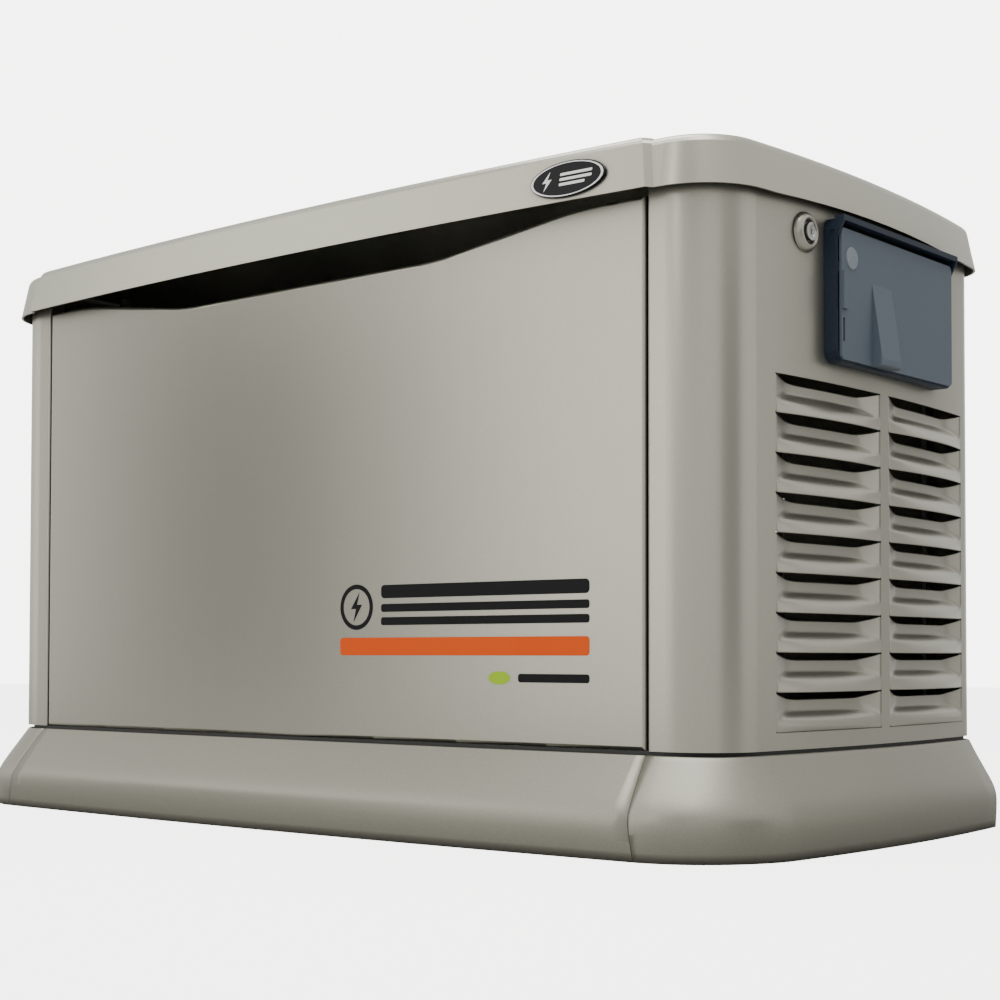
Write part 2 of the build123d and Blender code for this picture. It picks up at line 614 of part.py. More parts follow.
with BuildPart() as hinge_body_leaves:
    for centre in (-HINGE_X, HINGE_X):
        block((centre - HINGE_HALF, centre + HINGE_HALF), (BODY_REAR_Y, BODY_REAR_Y + 2), (628, HINGE_Z))
        for start, end in ((-HINGE_HALF, -WING_HALF - LEAF_GAP), (WING_HALF + LEAF_GAP, HINGE_HALF)):
            block((centre + start, centre + end), (BODY_REAR_Y, HINGE_Y), (HINGE_Z - 5, HINGE_Z))
            rod_x((centre + start, centre + end), HINGE_Y, HINGE_Z, HINGE_KNUCKLE_R)
        rod_x((centre - 50, centre + 50), HINGE_Y, HINGE_Z, HINGE_PIN_R + RUNNING, mode=Mode.SUBTRACT)
save(hinge_body_leaves, "hinge_body_leaves")

with BuildPart() as hinge_lid_leaves:
    for centre in (-HINGE_X, HINGE_X):
        with BuildSketch(Plane.YZ.offset(centre - HINGE_HALF)):
            low, high = HINGE_Z + 6, HINGE_Z + 26
            Polygon((skirt_inner_y(low), low), (skirt_inner_y(high), high),
                    (skirt_inner_y(high) - 2.5, high), (skirt_inner_y(low) - 2.5, low), align=None)
        extrude(amount=2 * HINGE_HALF)
        block((centre - WING_HALF, centre + WING_HALF), (HINGE_Y - 0.5, skirt_inner_y(HINGE_Z + 12)),
              (HINGE_Z + 2, HINGE_Z + 11))
        rod_x((centre - WING_HALF, centre + WING_HALF), HINGE_Y, HINGE_Z, HINGE_KNUCKLE_R)
        rod_x((centre - 50, centre + 50), HINGE_Y, HINGE_Z, HINGE_PIN_R + RUNNING, mode=Mode.SUBTRACT)
save(hinge_lid_leaves, "hinge_lid_leaves")

with BuildPart() as hinge_pins:
    for centre in (-HINGE_X, HINGE_X):
        rod_x((centre - HINGE_HALF, centre + HINGE_HALF), HINGE_Y, HINGE_Z, HINGE_PIN_R)
save(hinge_pins, "hinge_pins")


# ---------------------------------------------------------------- key locks on both ends
with BuildPart() as lock_barrels:
    rod_x((LOCK_FACE - LOCK_DEPTH, LOCK_FACE + 7), LOCK_Y, LOCK_Z, LOCK_BARREL_R)
    rod_x((LOCK_FACE, LOCK_FACE + 2), LOCK_Y, LOCK_Z, LOCK_FLANGE_R)
    rod_x((LOCK_FACE - 12, LOCK_FACE - 7), LOCK_Y, LOCK_Z, LOCK_PAD_R - 4)       # clamping nut
    rod_x((LOCK_FACE - LOCK_DEPTH, LOCK_FACE + 7), LOCK_Y, LOCK_Z, LOCK_PLUG_R + RUNNING,
          mode=Mode.SUBTRACT)
    add(right_end_panel.part, mode=Mode.SUBTRACT)
    mirror(about=Plane.YZ)
save(lock_barrels, "lock_barrels")

with BuildPart(mode=Mode.PRIVATE) as lock_plug:
    rod_x((CAM_X, LOCK_FACE + 6), LOCK_Y, LOCK_Z, LOCK_PLUG_R)
    block((LOCK_FACE + 3, LOCK_FACE + 6), (LOCK_Y - 0.8, LOCK_Y + 0.8), (LOCK_Z - 3, LOCK_Z + 3),
          mode=Mode.SUBTRACT)                                                    # key slot
    block((CAM_X, CAM_X + 2.5), (LOCK_Y - 6, LOCK_Y + 6), (LOCK_Z, LOCK_Z + CAM_REACH - 2))
with BuildPart() as lock_plug_right:
    add(lock_plug.part)
save(lock_plug_right, "lock_plug_right")
with BuildPart() as lock_plug_left:
    add(mirror(lock_plug.part, about=Plane.YZ))
save(lock_plug_left, "lock_plug_left")


# ---------------------------------------------------------------- viewing cover on the +X end
DOOR_PIN_X = COVER_FACE - DOOR_PIN_BACK
DOOR_X = (COVER_FACE + MOVING_GAP, COVER_FACE + MOVING_GAP + DOOR_THICK)
DOOR_Y = (COVER_Y[0] + COVER_WALL + DOOR_SIDE_GAP, COVER_Y[1] - COVER_WALL - DOOR_SIDE_GAP)
DOOR_Z = (COVER_Z[0] + 3.0, DOOR_TOP)
HOOD_X = END_X + HOOD_OUT


def upright_plate(x, y, z, radius):
    """A rounded-corner plate facing +X."""
    with BuildPart(mode=Mode.PRIVATE) as plate:
        block(x, y, z)
        fillet(plate.edges().filter_by(Axis.X), radius)
    return plate.part


with BuildPart() as cover_bezel:
    add(upright_plate((END_X - 30, COVER_FACE), COVER_Y, COVER_Z, COVER_R))
    for end, inward in ((COVER_Y[0], 1), (COVER_Y[1], -1)):
        with BuildSketch(Plane.XZ.offset(-end)):
            Polygon((COVER_FACE - 2, COVER_Z[1]), (HOOD_X, COVER_Z[1]), (HOOD_X, HOOD_UNDERSIDE),
                    (COVER_FACE, 640), (COVER_FACE - 2, 640), align=None)
        extrude(amount=-inward * COVER_WALL)
    block((COVER_FACE - 2, HOOD_X), COVER_Y, (HOOD_UNDERSIDE, COVER_Z[1]))
    add(upright_plate((END_X - 40, COVER_FACE), (COVER_Y[0] + COVER_WALL, COVER_Y[1] - COVER_WALL),
                      (COVER_Z[0] + COVER_WALL, COVER_Z[1] - COVER_WALL), COVER_R - COVER_WALL),
        mode=Mode.SUBTRACT)
    add(BODY_SOLID, mode=Mode.SUBTRACT)
    rod_y(DOOR_PIN_X, COVER_Y, DOOR_PIN_Z, DOOR_PIN_R + RUNNING, mode=Mode.SUBTRACT)
save(cover_bezel, "cover_bezel")

with BuildPart() as cover_pin:
    rod_y(DOOR_PIN_X, (COVER_Y[0] + 1, COVER_Y[1] - 1), DOOR_PIN_Z, DOOR_PIN_R)
save(cover_pin, "cover_pin")

with BuildPart() as cover_door:
    add(upright_plate(DOOR_X, DOOR_Y, DOOR_Z, 6))
    with BuildPart(mode=Mode.PRIVATE) as tongue:              # finger lift that swells to the bottom
        with BuildSketch(Plane.XZ.offset(-TONGUE_Y[0])):
            Polygon((DOOR_X[0] + 1, TONGUE_TOP), (DOOR_X[1], TONGUE_TOP),
                    (DOOR_X[1] + TONGUE_OUT, DOOR_Z[0] + 8), (DOOR_X[1] + TONGUE_OUT, DOOR_Z[0]),
                    (DOOR_X[0] + 1, DOOR_Z[0]), align=None)
        extrude(amount=-(TONGUE_Y[1] - TONGUE_Y[0]))
        fillet(tongue.faces().sort_by(Axis.X)[-1].edges(), 2.0)
    add(tongue.part)
    block((DOOR_X[0] + 1, DOOR_X[1] + 3), (DOOR_Y[0], DOOR_Y[0] + 9), (566, 606))      # thumb tab
    block((DOOR_X[0] - 5, DOOR_X[1] + 5), (DOOR_Y[0] + 2.5, DOOR_Y[0] + 6.5), (532, 557),
          mode=Mode.SUBTRACT)
    rod_x((DOOR_X[0] - 5, DOOR_X[1] + 5), LENS_Y, LENS_Z, LENS_R, mode=Mode.SUBTRACT)
    for start in (COVER_Y[0] + 8, (COVER_Y[0] + COVER_Y[1]) / 2 - 12, COVER_Y[1] - 32):
        block((DOOR_PIN_X, DOOR_X[0] + 1), (start, start + 24), (DOOR_PIN_Z - 2, DOOR_PIN_Z + 2))
        rod_y(DOOR_PIN_X, (start, start + 24), DOOR_PIN_Z, DOOR_KNUCKLE_R)
        rod_y(DOOR_PIN_X, (start, start + 24), DOOR_PIN_Z, DOOR_PIN_R + RUNNING, mode=Mode.SUBTRACT)
save(cover_door, "cover_door")

with BuildPart() as cover_lens:
    rod_x((DOOR_X[0], DOOR_X[1] + 1.2), LENS_Y, LENS_Z, LENS_R)
    chamfer(cover_lens.faces().sort_by(Axis.X)[-1].edges(), 0.8)
save(cover_lens, "cover_lens")


# ---------------------------------------------------------------- main breaker behind the cover
BREAKER_X, BREAKER_Y, BREAKER_Z = (505.0, 565.0), (-8.0, 68.0), (530.0, 628.0)
TOGGLE_Y, TOGGLE_Z = (BREAKER_Y[0] + BREAKER_Y[1]) / 2, (BREAKER_Z[0] + BREAKER_Z[1]) / 2
TOGGLE_PIVOT_X = BREAKER_X[1] - 8
with BuildPart() as breaker:
    block(BREAKER_X, BREAKER_Y, BREAKER_Z)
    block((TOGGLE_PIVOT_X - 12, BREAKER_X[1]), (TOGGLE_Y - 10.5, TOGGLE_Y + 10.5),
          (TOGGLE_Z - 16, TOGGLE_Z + 16), mode=Mode.SUBTRACT)
save(breaker, "breaker")

with BuildPart() as breaker_toggle:
    rod_y(TOGGLE_PIVOT_X, (TOGGLE_Y - 10.2, TOGGLE_Y + 10.2), TOGGLE_Z, 6)
    with BuildPart(mode=Mode.PRIVATE) as lever:
        block((TOGGLE_PIVOT_X, TOGGLE_PIVOT_X + 26), (TOGGLE_Y - 9, TOGGLE_Y + 9), (TOGGLE_Z - 4, TOGGLE_Z + 4))
        fillet(lever.faces().sort_by(Axis.X)[-1].edges(), 1.5)
    add(lever.part.rotate(Axis((TOGGLE_PIVOT_X, TOGGLE_Y, TOGGLE_Z), (0, 1, 0)), 20))
save(breaker_toggle, "breaker_toggle")

with BuildPart() as breaker_bracket:
    block((BREAKER_X[0] - 3, BREAKER_X[0]), (BREAKER_Y[0] - 25, BREAKER_Y[1] + 25), BREAKER_Z)
    for arm in (BREAKER_Y[0] - 25, BREAKER_Y[1] + 22):
        block((BREAKER_X[0] - 3, END_X + 10), (arm, arm + 3), (BREAKER_Z[1] - 40, BREAKER_Z[1] + 10))
    block((BREAKER_X[0] - 3, BREAKER_X[0]), (BREAKER_Y[0] - 25, BREAKER_Y[1] + 25),
          (BREAKER_Z[1], BREAKER_Z[1] + 10))
    add(prism(body_plan(SHEET), PANEL_BOTTOM, PANEL_TOP), mode=Mode.INTERSECT)
    block((END_X - 60, END_X + 20), WINDOW_Y, WINDOW_Z, mode=Mode.SUBTRACT)
save(breaker_bracket, "breaker_bracket")


# ---------------------------------------------------------------- inner walls and mounting rails
def inner_wall(x):
    """An upright sheet across the pan, standing on its floor."""
    with BuildPart(mode=Mode.PRIVATE) as sheet:
        block((x, x + SHEET), (BODY_FRONT_Y + FLANGE + 8, BODY_REAR_Y - FLANGE - 9), (PAN_FLOOR, 640))
    return sheet.part


def port(bank):
    """Y and Z of a cylinder's port centre, bank -1 at the front and +1 at the rear."""
    reach = PORT_HEIGHT * sin(radians(BANK_ANGLE))
    return AXIS_Y + bank * reach, AXIS_Z + PORT_HEIGHT * cos(radians(BANK_ANGLE))


with BuildPart() as exhaust_divider:
    add(inner_wall(DIVIDER_X))
    for bank in (-1, 1):
        rod_x((DIVIDER_X - 5, DIVIDER_X + 10), *port(bank), PIPE_R + 5, mode=Mode.SUBTRACT)
    rod_x((DIVIDER_X - 5, DIVIDER_X + 10), AXIS_Y, AXIS_Z, INLET_R, mode=Mode.SUBTRACT)
save(exhaust_divider, "exhaust_divider")

CABLE_HOLE_Y, CABLE_HOLE_Z, CABLE_HOLE_R = -149.0, 321.0, 34.0
with BuildPart() as control_bulkhead:
    add(inner_wall(BULKHEAD_X))
    rod_x((BULKHEAD_X - 5, BULKHEAD_X + 10), CABLE_HOLE_Y, CABLE_HOLE_Z, CABLE_HOLE_R, mode=Mode.SUBTRACT)
save(control_bulkhead, "control_bulkhead")

with BuildPart() as mount_rails:
    for rail_y in FOOT_Y:
        block((CASE_X[0] + 20, CARRIER_X[1] + 20), (rail_y - RAIL_WIDTH / 2, rail_y + RAIL_WIDTH / 2),
              (PAN_FLOOR, RAIL_TOP))
        block((CASE_X[0] + 10, CARRIER_X[1] + 30),
              (rail_y - RAIL_WIDTH / 2 + RAIL_WALL, rail_y + RAIL_WIDTH / 2 - RAIL_WALL),
              (PAN_FLOOR, RAIL_TOP - RAIL_WALL), mode=Mode.SUBTRACT)
save(mount_rails, "mount_rails")

MOUNT_SPOTS = [(x, y) for x in (sum(ENGINE_FOOT_X) / 2, sum(FOOT_CARRIER_X) / 2) for y in FOOT_Y]
with BuildPart() as rubber_mounts:
    for spot in MOUNT_SPOTS:
        with BuildSketch(Plane(origin=(*spot, 0), x_dir=(1, 0, 0), z_dir=(0, -1, 0))) as waist:
            with BuildLine():
                mid = (RAIL_TOP + FOOT_BOTTOM) / 2
                Polyline((0, RAIL_TOP), (MOUNT_R, RAIL_TOP))
                ThreePointArc((MOUNT_R, RAIL_TOP), (MOUNT_R - 6, mid), (MOUNT_R, FOOT_BOTTOM))
                Polyline((MOUNT_R, FOOT_BOTTOM), (0, FOOT_BOTTOM), (0, RAIL_TOP))
            make_face()
        revolve(axis=Axis((*spot, 0), (0, 0, 1)))
save(rubber_mounts, "rubber_mounts")


# ---------------------------------------------------------------- engine
def bank_frame(bank, height=0.0):
    """Plane across a cylinder at a distance from the crank axis, local Y along the crank."""
    lean = radians(BANK_ANGLE)
    out = (0, bank * sin(lean), cos(lean))
    origin = (BANK_X[bank], AXIS_Y + height * out[1], AXIS_Z + height * out[2])
    return Plane(origin=origin, x_dir=(0, cos(lean), -bank * sin(lean)), z_dir=out)


def mirrored(points):
    """A half outline about the crank's upright plane, closed by its mirror image."""
    return points + [(2 * AXIS_Y - y, z) for y, z in reversed(points)]


CASE_CAVITY_R = 66.0
CAVITY_END = 10.0
DIP_X, DIP_Y, DIP_Z = -64.0, AXIS_Y - CASE_SIDE - 10, 176.0
DIP_TUBE_TOP, DIP_TUBE_R, DIP_R = 300.0, 7.0, 4.0
lean_cos = cos(radians(BANK_ANGLE))
with BuildPart() as crankcase:
    deck_y, deck_z = AXIS_Y - DECK * lean_cos, AXIS_Z + DECK * lean_cos
    half = DECK_HALF * lean_cos
    with BuildSketch(Plane.YZ.offset(CASE_X[0])):
        Polygon(*mirrored([(AXIS_Y - CASE_SIDE + SUMP_CHAMFER, CASE_BOTTOM),
                           (AXIS_Y - CASE_SIDE, CASE_BOTTOM + SUMP_CHAMFER),
                           (deck_y - half, deck_z - half), (deck_y + half, deck_z + half)]), align=None)
    extrude(amount=CASE_X[1] - CASE_X[0])
    fillet(crankcase.edges().filter_by(Axis.X), 5)
    for side in (-1, 1):                                     # mounting feet
        foot = (AXIS_Y + side * 60, FOOT_Y[(side + 1) // 2] + side * MOUNT_R)
        block(ENGINE_FOOT_X, (min(foot), max(foot)), (FOOT_BOTTOM, FOOT_BOTTOM + 14))
        block(ENGINE_FOOT_X, (min(AXIS_Y, AXIS_Y + side * 75), max(AXIS_Y, AXIS_Y + side * 75)),
              (FOOT_BOTTOM, CASE_BOTTOM + 20))
    rod_z(DIP_X, DIP_Y, (DIP_Z, DIP_TUBE_TOP), DIP_TUBE_R)   # dipstick tube and its boss
    block((DIP_X - 10, DIP_X + 10), (DIP_Y - 9, AXIS_Y - CASE_SIDE + 5), (DIP_Z - 12, DIP_Z + 22))
    rod_x((CASE_X[0] + CAVITY_END, CASE_X[1] - CAVITY_END), AXIS_Y, AXIS_Z, CASE_CAVITY_R,
          mode=Mode.SUBTRACT)
    rod_x((CASE_X[0] - 1, CASE_X[1] + 1), AXIS_Y, AXIS_Z, SHAFT_R + RUNNING, mode=Mode.SUBTRACT)
    for bank in (-1, 1):
        with BuildSketch(bank_frame(bank)):
            Circle(BORE_R)
        extrude(amount=DECK + 5, mode=Mode.SUBTRACT)
    rod_z(DIP_X, DIP_Y, (DIP_Z - 8, DIP_TUBE_TOP + 1), DIP_R + 0.3, mode=Mode.SUBTRACT)
save(crankcase, "crankcase")

with BuildPart() as dipstick:
    rod_z(DIP_X, DIP_Y, (DIP_Z, DIP_TUBE_TOP + 4), DIP_R)
    rod_z(DIP_X, DIP_Y, (DIP_TUBE_TOP + MOVING_GAP, DIP_TUBE_TOP + 9), DIP_TUBE_R + 2)
    with Locations(Plane(origin=(DIP_X, DIP_Y, DIP_TUBE_TOP + 22), x_dir=(1, 0, 0), z_dir=(0, -1, 0))):
        Torus(13, 3)
    rod_z(DIP_X, DIP_Y, (DIP_TUBE_TOP + 4, DIP_TUBE_TOP + 11), 4)
save(dipstick, "dipstick")

with BuildPart() as cylinders:
    for bank in (-1, 1):
        with BuildSketch(bank_frame(bank, DECK)):
            Circle(BARREL_R)
        extrude(amount=BARREL_LENGTH)
        for level in range(int((BARREL_LENGTH - 12) / FIN_PITCH)):
            with BuildSketch(bank_frame(bank, DECK + 10 + level * FIN_PITCH)):
                RectangleRounded(FIN_WIDTH, FIN_X, 14)
            extrude(amount=FIN_THICK)
        with BuildSketch(bank_frame(bank, DECK)):
            Circle(BORE_R)
        extrude(amount=BARREL_LENGTH, mode=Mode.SUBTRACT)
save(cylinders, "cylinders")

HEAD_TOP = DECK + BARREL_LENGTH + HEAD_LENGTH
PLUG_OUT = 22.0
with BuildPart() as cylinder_heads:
    for bank in (-1, 1):
        with BuildSketch(bank_frame(bank, DECK + BARREL_LENGTH)):
            RectangleRounded(FIN_WIDTH - 8, FIN_X - 8, 12)
        extrude(amount=HEAD_LENGTH)
        for level in range(4):                               # cooling grooves round the head
            with BuildSketch(bank_frame(bank, DECK + BARREL_LENGTH + 6 + level * FIN_PITCH)):
                RectangleRounded(FIN_WIDTH, FIN_X, 14)
                RectangleRounded(FIN_WIDTH - 30, FIN_X - 44, 12, mode=Mode.SUBTRACT)
            extrude(amount=FIN_PITCH - FIN_THICK, mode=Mode.SUBTRACT)
        rod_x((BANK_X[bank] - FIN_X / 2 + 4, BANK_X[bank] - 40), *port(bank), PIPE_R + 7)
        rod_x((BANK_X[bank] - FIN_X / 2 + 3, BANK_X[bank] - 44), *port(bank), PIPE_R - 2,
              mode=Mode.SUBTRACT)
        with BuildSketch(bank_frame(bank, PORT_HEIGHT).rotated((0, 0, 0))):
            with Locations((-bank * 40, 0)):
                Rectangle(44, 50)
        extrude(amount=HEAD_LENGTH / 2 - 4, both=True)
save(cylinder_heads, "cylinder_heads")

with BuildPart() as valve_covers:
    for bank in (-1, 1):
        with BuildSketch(bank_frame(bank, HEAD_TOP)):
            RectangleRounded(FIN_WIDTH - 14, FIN_X - 18, 12)
        extrude(amount=4)
        with BuildSketch(bank_frame(bank, HEAD_TOP + 4)):
            RectangleRounded(FIN_WIDTH - 26, FIN_X - 30, 16)
        extrude(amount=COVER_LENGTH - 4, taper=8)
save(valve_covers, "valve_covers")

with BuildPart() as spark_plugs:
    for bank in (-1, 1):
        side = bank_frame(bank, PORT_HEIGHT)
        start = FIN_X / 2 - 4
        for radius, near, far in ((11, start, start + 8), (7, start + 8, start + 20),
                                  (10, start + 20, start + 20 + PLUG_OUT)):
            centre = side.origin
            rod_x((centre.X + near, centre.X + far), centre.Y, centre.Z, radius)
save(spark_plugs, "spark_plugs")

MANIFOLD_X = (BANK_X[-1] + BANK_X[1]) / 2
inner_reach = FIN_WIDTH / 2 - 2.0                             # heads' inner face from their centre line
port_y, port_z = port(-1)
MANIFOLD_START = (port_y + inner_reach * lean_cos, port_z + inner_reach * lean_cos)
MANIFOLD_TOP = MANIFOLD_START[1] + 32
with BuildPart() as intake_manifold:
    rise = MANIFOLD_TOP - MANIFOLD_START[1]
    with BuildLine() as run:
        FilletPolyline((MANIFOLD_X, *MANIFOLD_START), (MANIFOLD_X, MANIFOLD_START[0] + rise, MANIFOLD_TOP),
                       (MANIFOLD_X, 2 * AXIS_Y - MANIFOLD_START[0] - rise, MANIFOLD_TOP),
                       (MANIFOLD_X, 2 * AXIS_Y - MANIFOLD_START[0], MANIFOLD_START[1]), radius=28)
    with BuildSketch(Plane(origin=run.line @ 0, z_dir=run.line % 0)):
        Circle(PIPE_R)
    sweep()
    for bank in (-1, 1):
        with BuildSketch(Plane(origin=run.line @ (0 if bank < 0 else 1), x_dir=(1, 0, 0),
                               z_dir=(0, -bank * lean_cos, lean_cos))):
            RectangleRounded(56, 44, 8)
        extrude(amount=6)
    rod_x((MANIFOLD_X, MANIFOLD_X + 40), AXIS_Y, MANIFOLD_TOP, PIPE_R + 4)
save(intake_manifold, "intake_manifold")

AIR_BOX_X, AIR_BOX_Y = (-44.0, 140.0), (AXIS_Y - 100, AXIS_Y + 100)
AIR_BOX_Z = (MANIFOLD_TOP - 45, MANIFOLD_TOP + 70)
with BuildPart() as mixer:
    rod_x((MANIFOLD_X + 40, AIR_BOX_X[0]), AXIS_Y, MANIFOLD_TOP, 26)
    block((MANIFOLD_X + 40, MANIFOLD_X + 46), (AXIS_Y - 32, AXIS_Y + 32),
          (MANIFOLD_TOP - 30, MANIFOLD_TOP + 30))
    rod_z((MANIFOLD_X + 40 + AIR_BOX_X[0]) / 2, AXIS_Y, (MANIFOLD_TOP, MANIFOLD_TOP + 38), 20)
    rod_y((MANIFOLD_X + 40 + AIR_BOX_X[0]) / 2, (AXIS_Y - 40, AXIS_Y + 44), MANIFOLD_TOP, 9)
save(mixer, "mixer")

with BuildPart() as air_cleaner:
    with BuildPart(mode=Mode.PRIVATE) as tub:
        block(AIR_BOX_X, AIR_BOX_Y, AIR_BOX_Z)
        fillet(tub.edges().filter_by(Axis.Z), 18)
        fillet(tub.faces().sort_by(Axis.Z)[-1].edges(), 8)
    add(tub.part)
    block((AIR_BOX_X[0] - 3, AIR_BOX_X[1] + 3), (AIR_BOX_Y[0] - 3, AIR_BOX_Y[1] + 3),
          (MANIFOLD_TOP + 26, MANIFOLD_TOP + 32))             # cover flange
    for post in (-55, 40):                                    # legs down to the alternator's adapter
        block((AIR_BOX_X[0] + 4, ADAPTER_X[1]), (AXIS_Y + post, AXIS_Y + post + 15),
              (AXIS_Z + EAR_HALF, AIR_BOX_Z[0]))
save(air_cleaner, "air_cleaner")

with BuildPart() as blower_housing:
    rod_x(BLOWER_X, AXIS_Y, AXIS_Z, BLOWER_R)
    rod_x((BLOWER_X[0] + 3, BLOWER_X[1] - 3), AXIS_Y, AXIS_Z, BLOWER_R - 3, mode=Mode.SUBTRACT)
    rod_x((BLOWER_X[0] - 1, BLOWER_X[0] + 4), AXIS_Y, AXIS_Z, INLET_R, mode=Mode.SUBTRACT)
    rod_x((BLOWER_X[1] - 4, BLOWER_X[1] + 1), AXIS_Y, AXIS_Z, CASE_SIDE - 40, mode=Mode.SUBTRACT)
save(blower_housing, "blower_housing")

FAN_VANES = 14
with BuildPart() as flywheel_fan:
    rod_x((FLYWHEEL_X[1] - 12, FLYWHEEL_X[1]), AXIS_Y, AXIS_Z, FLYWHEEL_R)
    rod_x(FLYWHEEL_X, AXIS_Y, AXIS_Z, 34)
    with Locations(Plane(origin=(FLYWHEEL_X[0] + 20, AXIS_Y, AXIS_Z), x_dir=(0, 0, 1), z_dir=(1, 0, 0))):
        with PolarLocations(104, FAN_VANES):
            Box(44, 3, FLYWHEEL_X[1] - FLYWHEEL_X[0] - 12, rotation=(0, 0, 18))
    rod_x((FLYWHEEL_X[0] - 1, FLYWHEEL_X[1] + 1), AXIS_Y, AXIS_Z, SHAFT_R, mode=Mode.SUBTRACT)
save(flywheel_fan, "flywheel_fan")

with BuildPart() as crankshaft:
    rod_x((FLYWHEEL_X[0] - 6, ADAPTER_X[0]), AXIS_Y, AXIS_Z, SHAFT_R)
    for web in (-205.0, -165.0, -115.0, -75.0):
        rod_x((web - 7, web + 7), AXIS_Y, AXIS_Z + 6, 50)
    for throw in ((-205.0, -165.0), (-115.0, -75.0)):
        rod_x(throw, AXIS_Y, AXIS_Z + 32, 19)
save(crankshaft, "crankshaft")

with BuildPart() as oil_filter:
    rod_y(-190, (AXIS_Y + CASE_SIDE, AXIS_Y + CASE_SIDE + 72), 164, 36)
    fillet(oil_filter.faces().sort_by(Axis.Y)[-1].edges(), 6)
save(oil_filter, "oil_filter")

STARTER_Y, STARTER_Z, STARTER_R = AXIS_Y - CASE_SIDE - 44, 150.0, 40.0
with BuildPart() as starter_motor:
    rod_x((-212, -90), STARTER_Y, STARTER_Z, STARTER_R)
    rod_x((-90, -80), STARTER_Y, STARTER_Z, STARTER_R - 12)
    fillet(starter_motor.faces().sort_by(Axis.X)[-1].edges(), 4)
    block((-212, -200), (STARTER_Y - 30, AXIS_Y - CASE_SIDE), (STARTER_Z - 28, STARTER_Z + 34))
    rod_x((-200, -110), STARTER_Y + 12, STARTER_Z + 52, 16)                      # solenoid
save(starter_motor, "starter_motor")


# ---------------------------------------------------------------- exhaust
with BuildPart() as exhaust_pipes:
    for bank in (-1, 1):
        pipe_y, pipe_z = port(bank)
        start_x = BANK_X[bank] - FIN_X / 2 + 4
        with BuildLine() as run:
            FilletPolyline((start_x, pipe_y, pipe_z), (MUFFLER_X, pipe_y, pipe_z),
                           (MUFFLER_X, pipe_y, MUFFLER_Z), radius=46)
        with BuildSketch(Plane(origin=run.line @ 0, z_dir=run.line % 0)):
            Circle(PIPE_R)
        sweep(path=run.line)
        with Locations((start_x - 4, pipe_y, pipe_z)):
            Box(8, 62, 40)                                    # port flange
    with BuildPart(mode=Mode.PRIVATE) as muffler_core:
        with BuildSketch(Plane.XZ.offset(-MUFFLER_Y[0])):
            with Locations((MUFFLER_X, MUFFLER_Z)):
                Ellipse(MUFFLER_RX, MUFFLER_RZ)
        extrude(amount=-(MUFFLER_Y[1] - MUFFLER_Y[0]))
    add(muffler_core.part, mode=Mode.SUBTRACT)
save(exhaust_pipes, "exhaust_pipes")

with BuildPart() as muffler:
    add(muffler_core.part)
    fillet(muffler.edges().filter_by(GeomType.ELLIPSE), 8)
    rod_x((-END_X - 6, MUFFLER_X), TAIL_Y, TAIL_Z, TAIL_R)
    rod_x((-END_X - 7, MUFFLER_X - MUFFLER_RX + 6), TAIL_Y, TAIL_Z, TAIL_R - 2, mode=Mode.SUBTRACT)
    with BuildPart(mode=Mode.PRIVATE) as saddles:
        for saddle in (MUFFLER_Y[0] + 50, MUFFLER_Y[1] - 70):
            block((MUFFLER_X - 60, MUFFLER_X + 60), (saddle, saddle + 3), (PAN_FLOOR, MUFFLER_Z - 20))
            block((MUFFLER_X - 60, MUFFLER_X + 60), (saddle, saddle + 24), (PAN_FLOOR, PAN_FLOOR + 3))
    add(saddles.part)
save(muffler, "muffler")


# ---------------------------------------------------------------- alternator
def square_ring(x, half, hole_r):
    """A square casting about the shaft with a round hole through it."""
    with BuildPart(mode=Mode.PRIVATE) as ring:
        block(x, (AXIS_Y - half, AXIS_Y + half), (AXIS_Z - half, AXIS_Z + half))
        fillet(ring.edges().filter_by(Axis.X), 14)
        rod_x((x[0] - 1, x[1] + 1), AXIS_Y, AXIS_Z, hole_r, mode=Mode.SUBTRACT)
    return ring.part


with BuildPart() as engine_adapter:
    add(square_ring(ADAPTER_X, EAR_HALF, SHAFT_R + 12))
    rod_x((ADAPTER_X[0] + 12, ADAPTER_X[1]), AXIS_Y, AXIS_Z, 82, mode=Mode.SUBTRACT)
save(engine_adapter, "engine_adapter")

with BuildPart() as stator_can:
    rod_x(STATOR_X, AXIS_Y, AXIS_Z, EAR_HALF + 12)
    rod_x(STATOR_X, AXIS_Y, AXIS_Z, EAR_HALF + 12 - CAN_WALL, mode=Mode.SUBTRACT)
save(stator_can, "stator_can")

with BuildPart() as stator:
    rod_x(CORE_X, AXIS_Y, AXIS_Z, EAR_HALF + 12 - CAN_WALL)
    rod_x((CORE_X[0] - 22, CORE_X[1] + 22), AXIS_Y, AXIS_Z, EAR_HALF - 6)
    rod_x((CORE_X[0] - 23, CORE_X[1] + 23), AXIS_Y, AXIS_Z, CORE_INNER_R, mode=Mode.SUBTRACT)
save(stator, "stator")

with BuildPart() as rotor:
    rod_x((ADAPTER_X[0], CARRIER_X[1] + 14), AXIS_Y, AXIS_Z, SHAFT_R)
    rod_x(CORE_X, AXIS_Y, AXIS_Z, ROTOR_R)
    rod_x((CORE_X[0] - 18, CORE_X[1] + 16), AXIS_Y, AXIS_Z, ROTOR_R - 14)
save(rotor, "rotor")

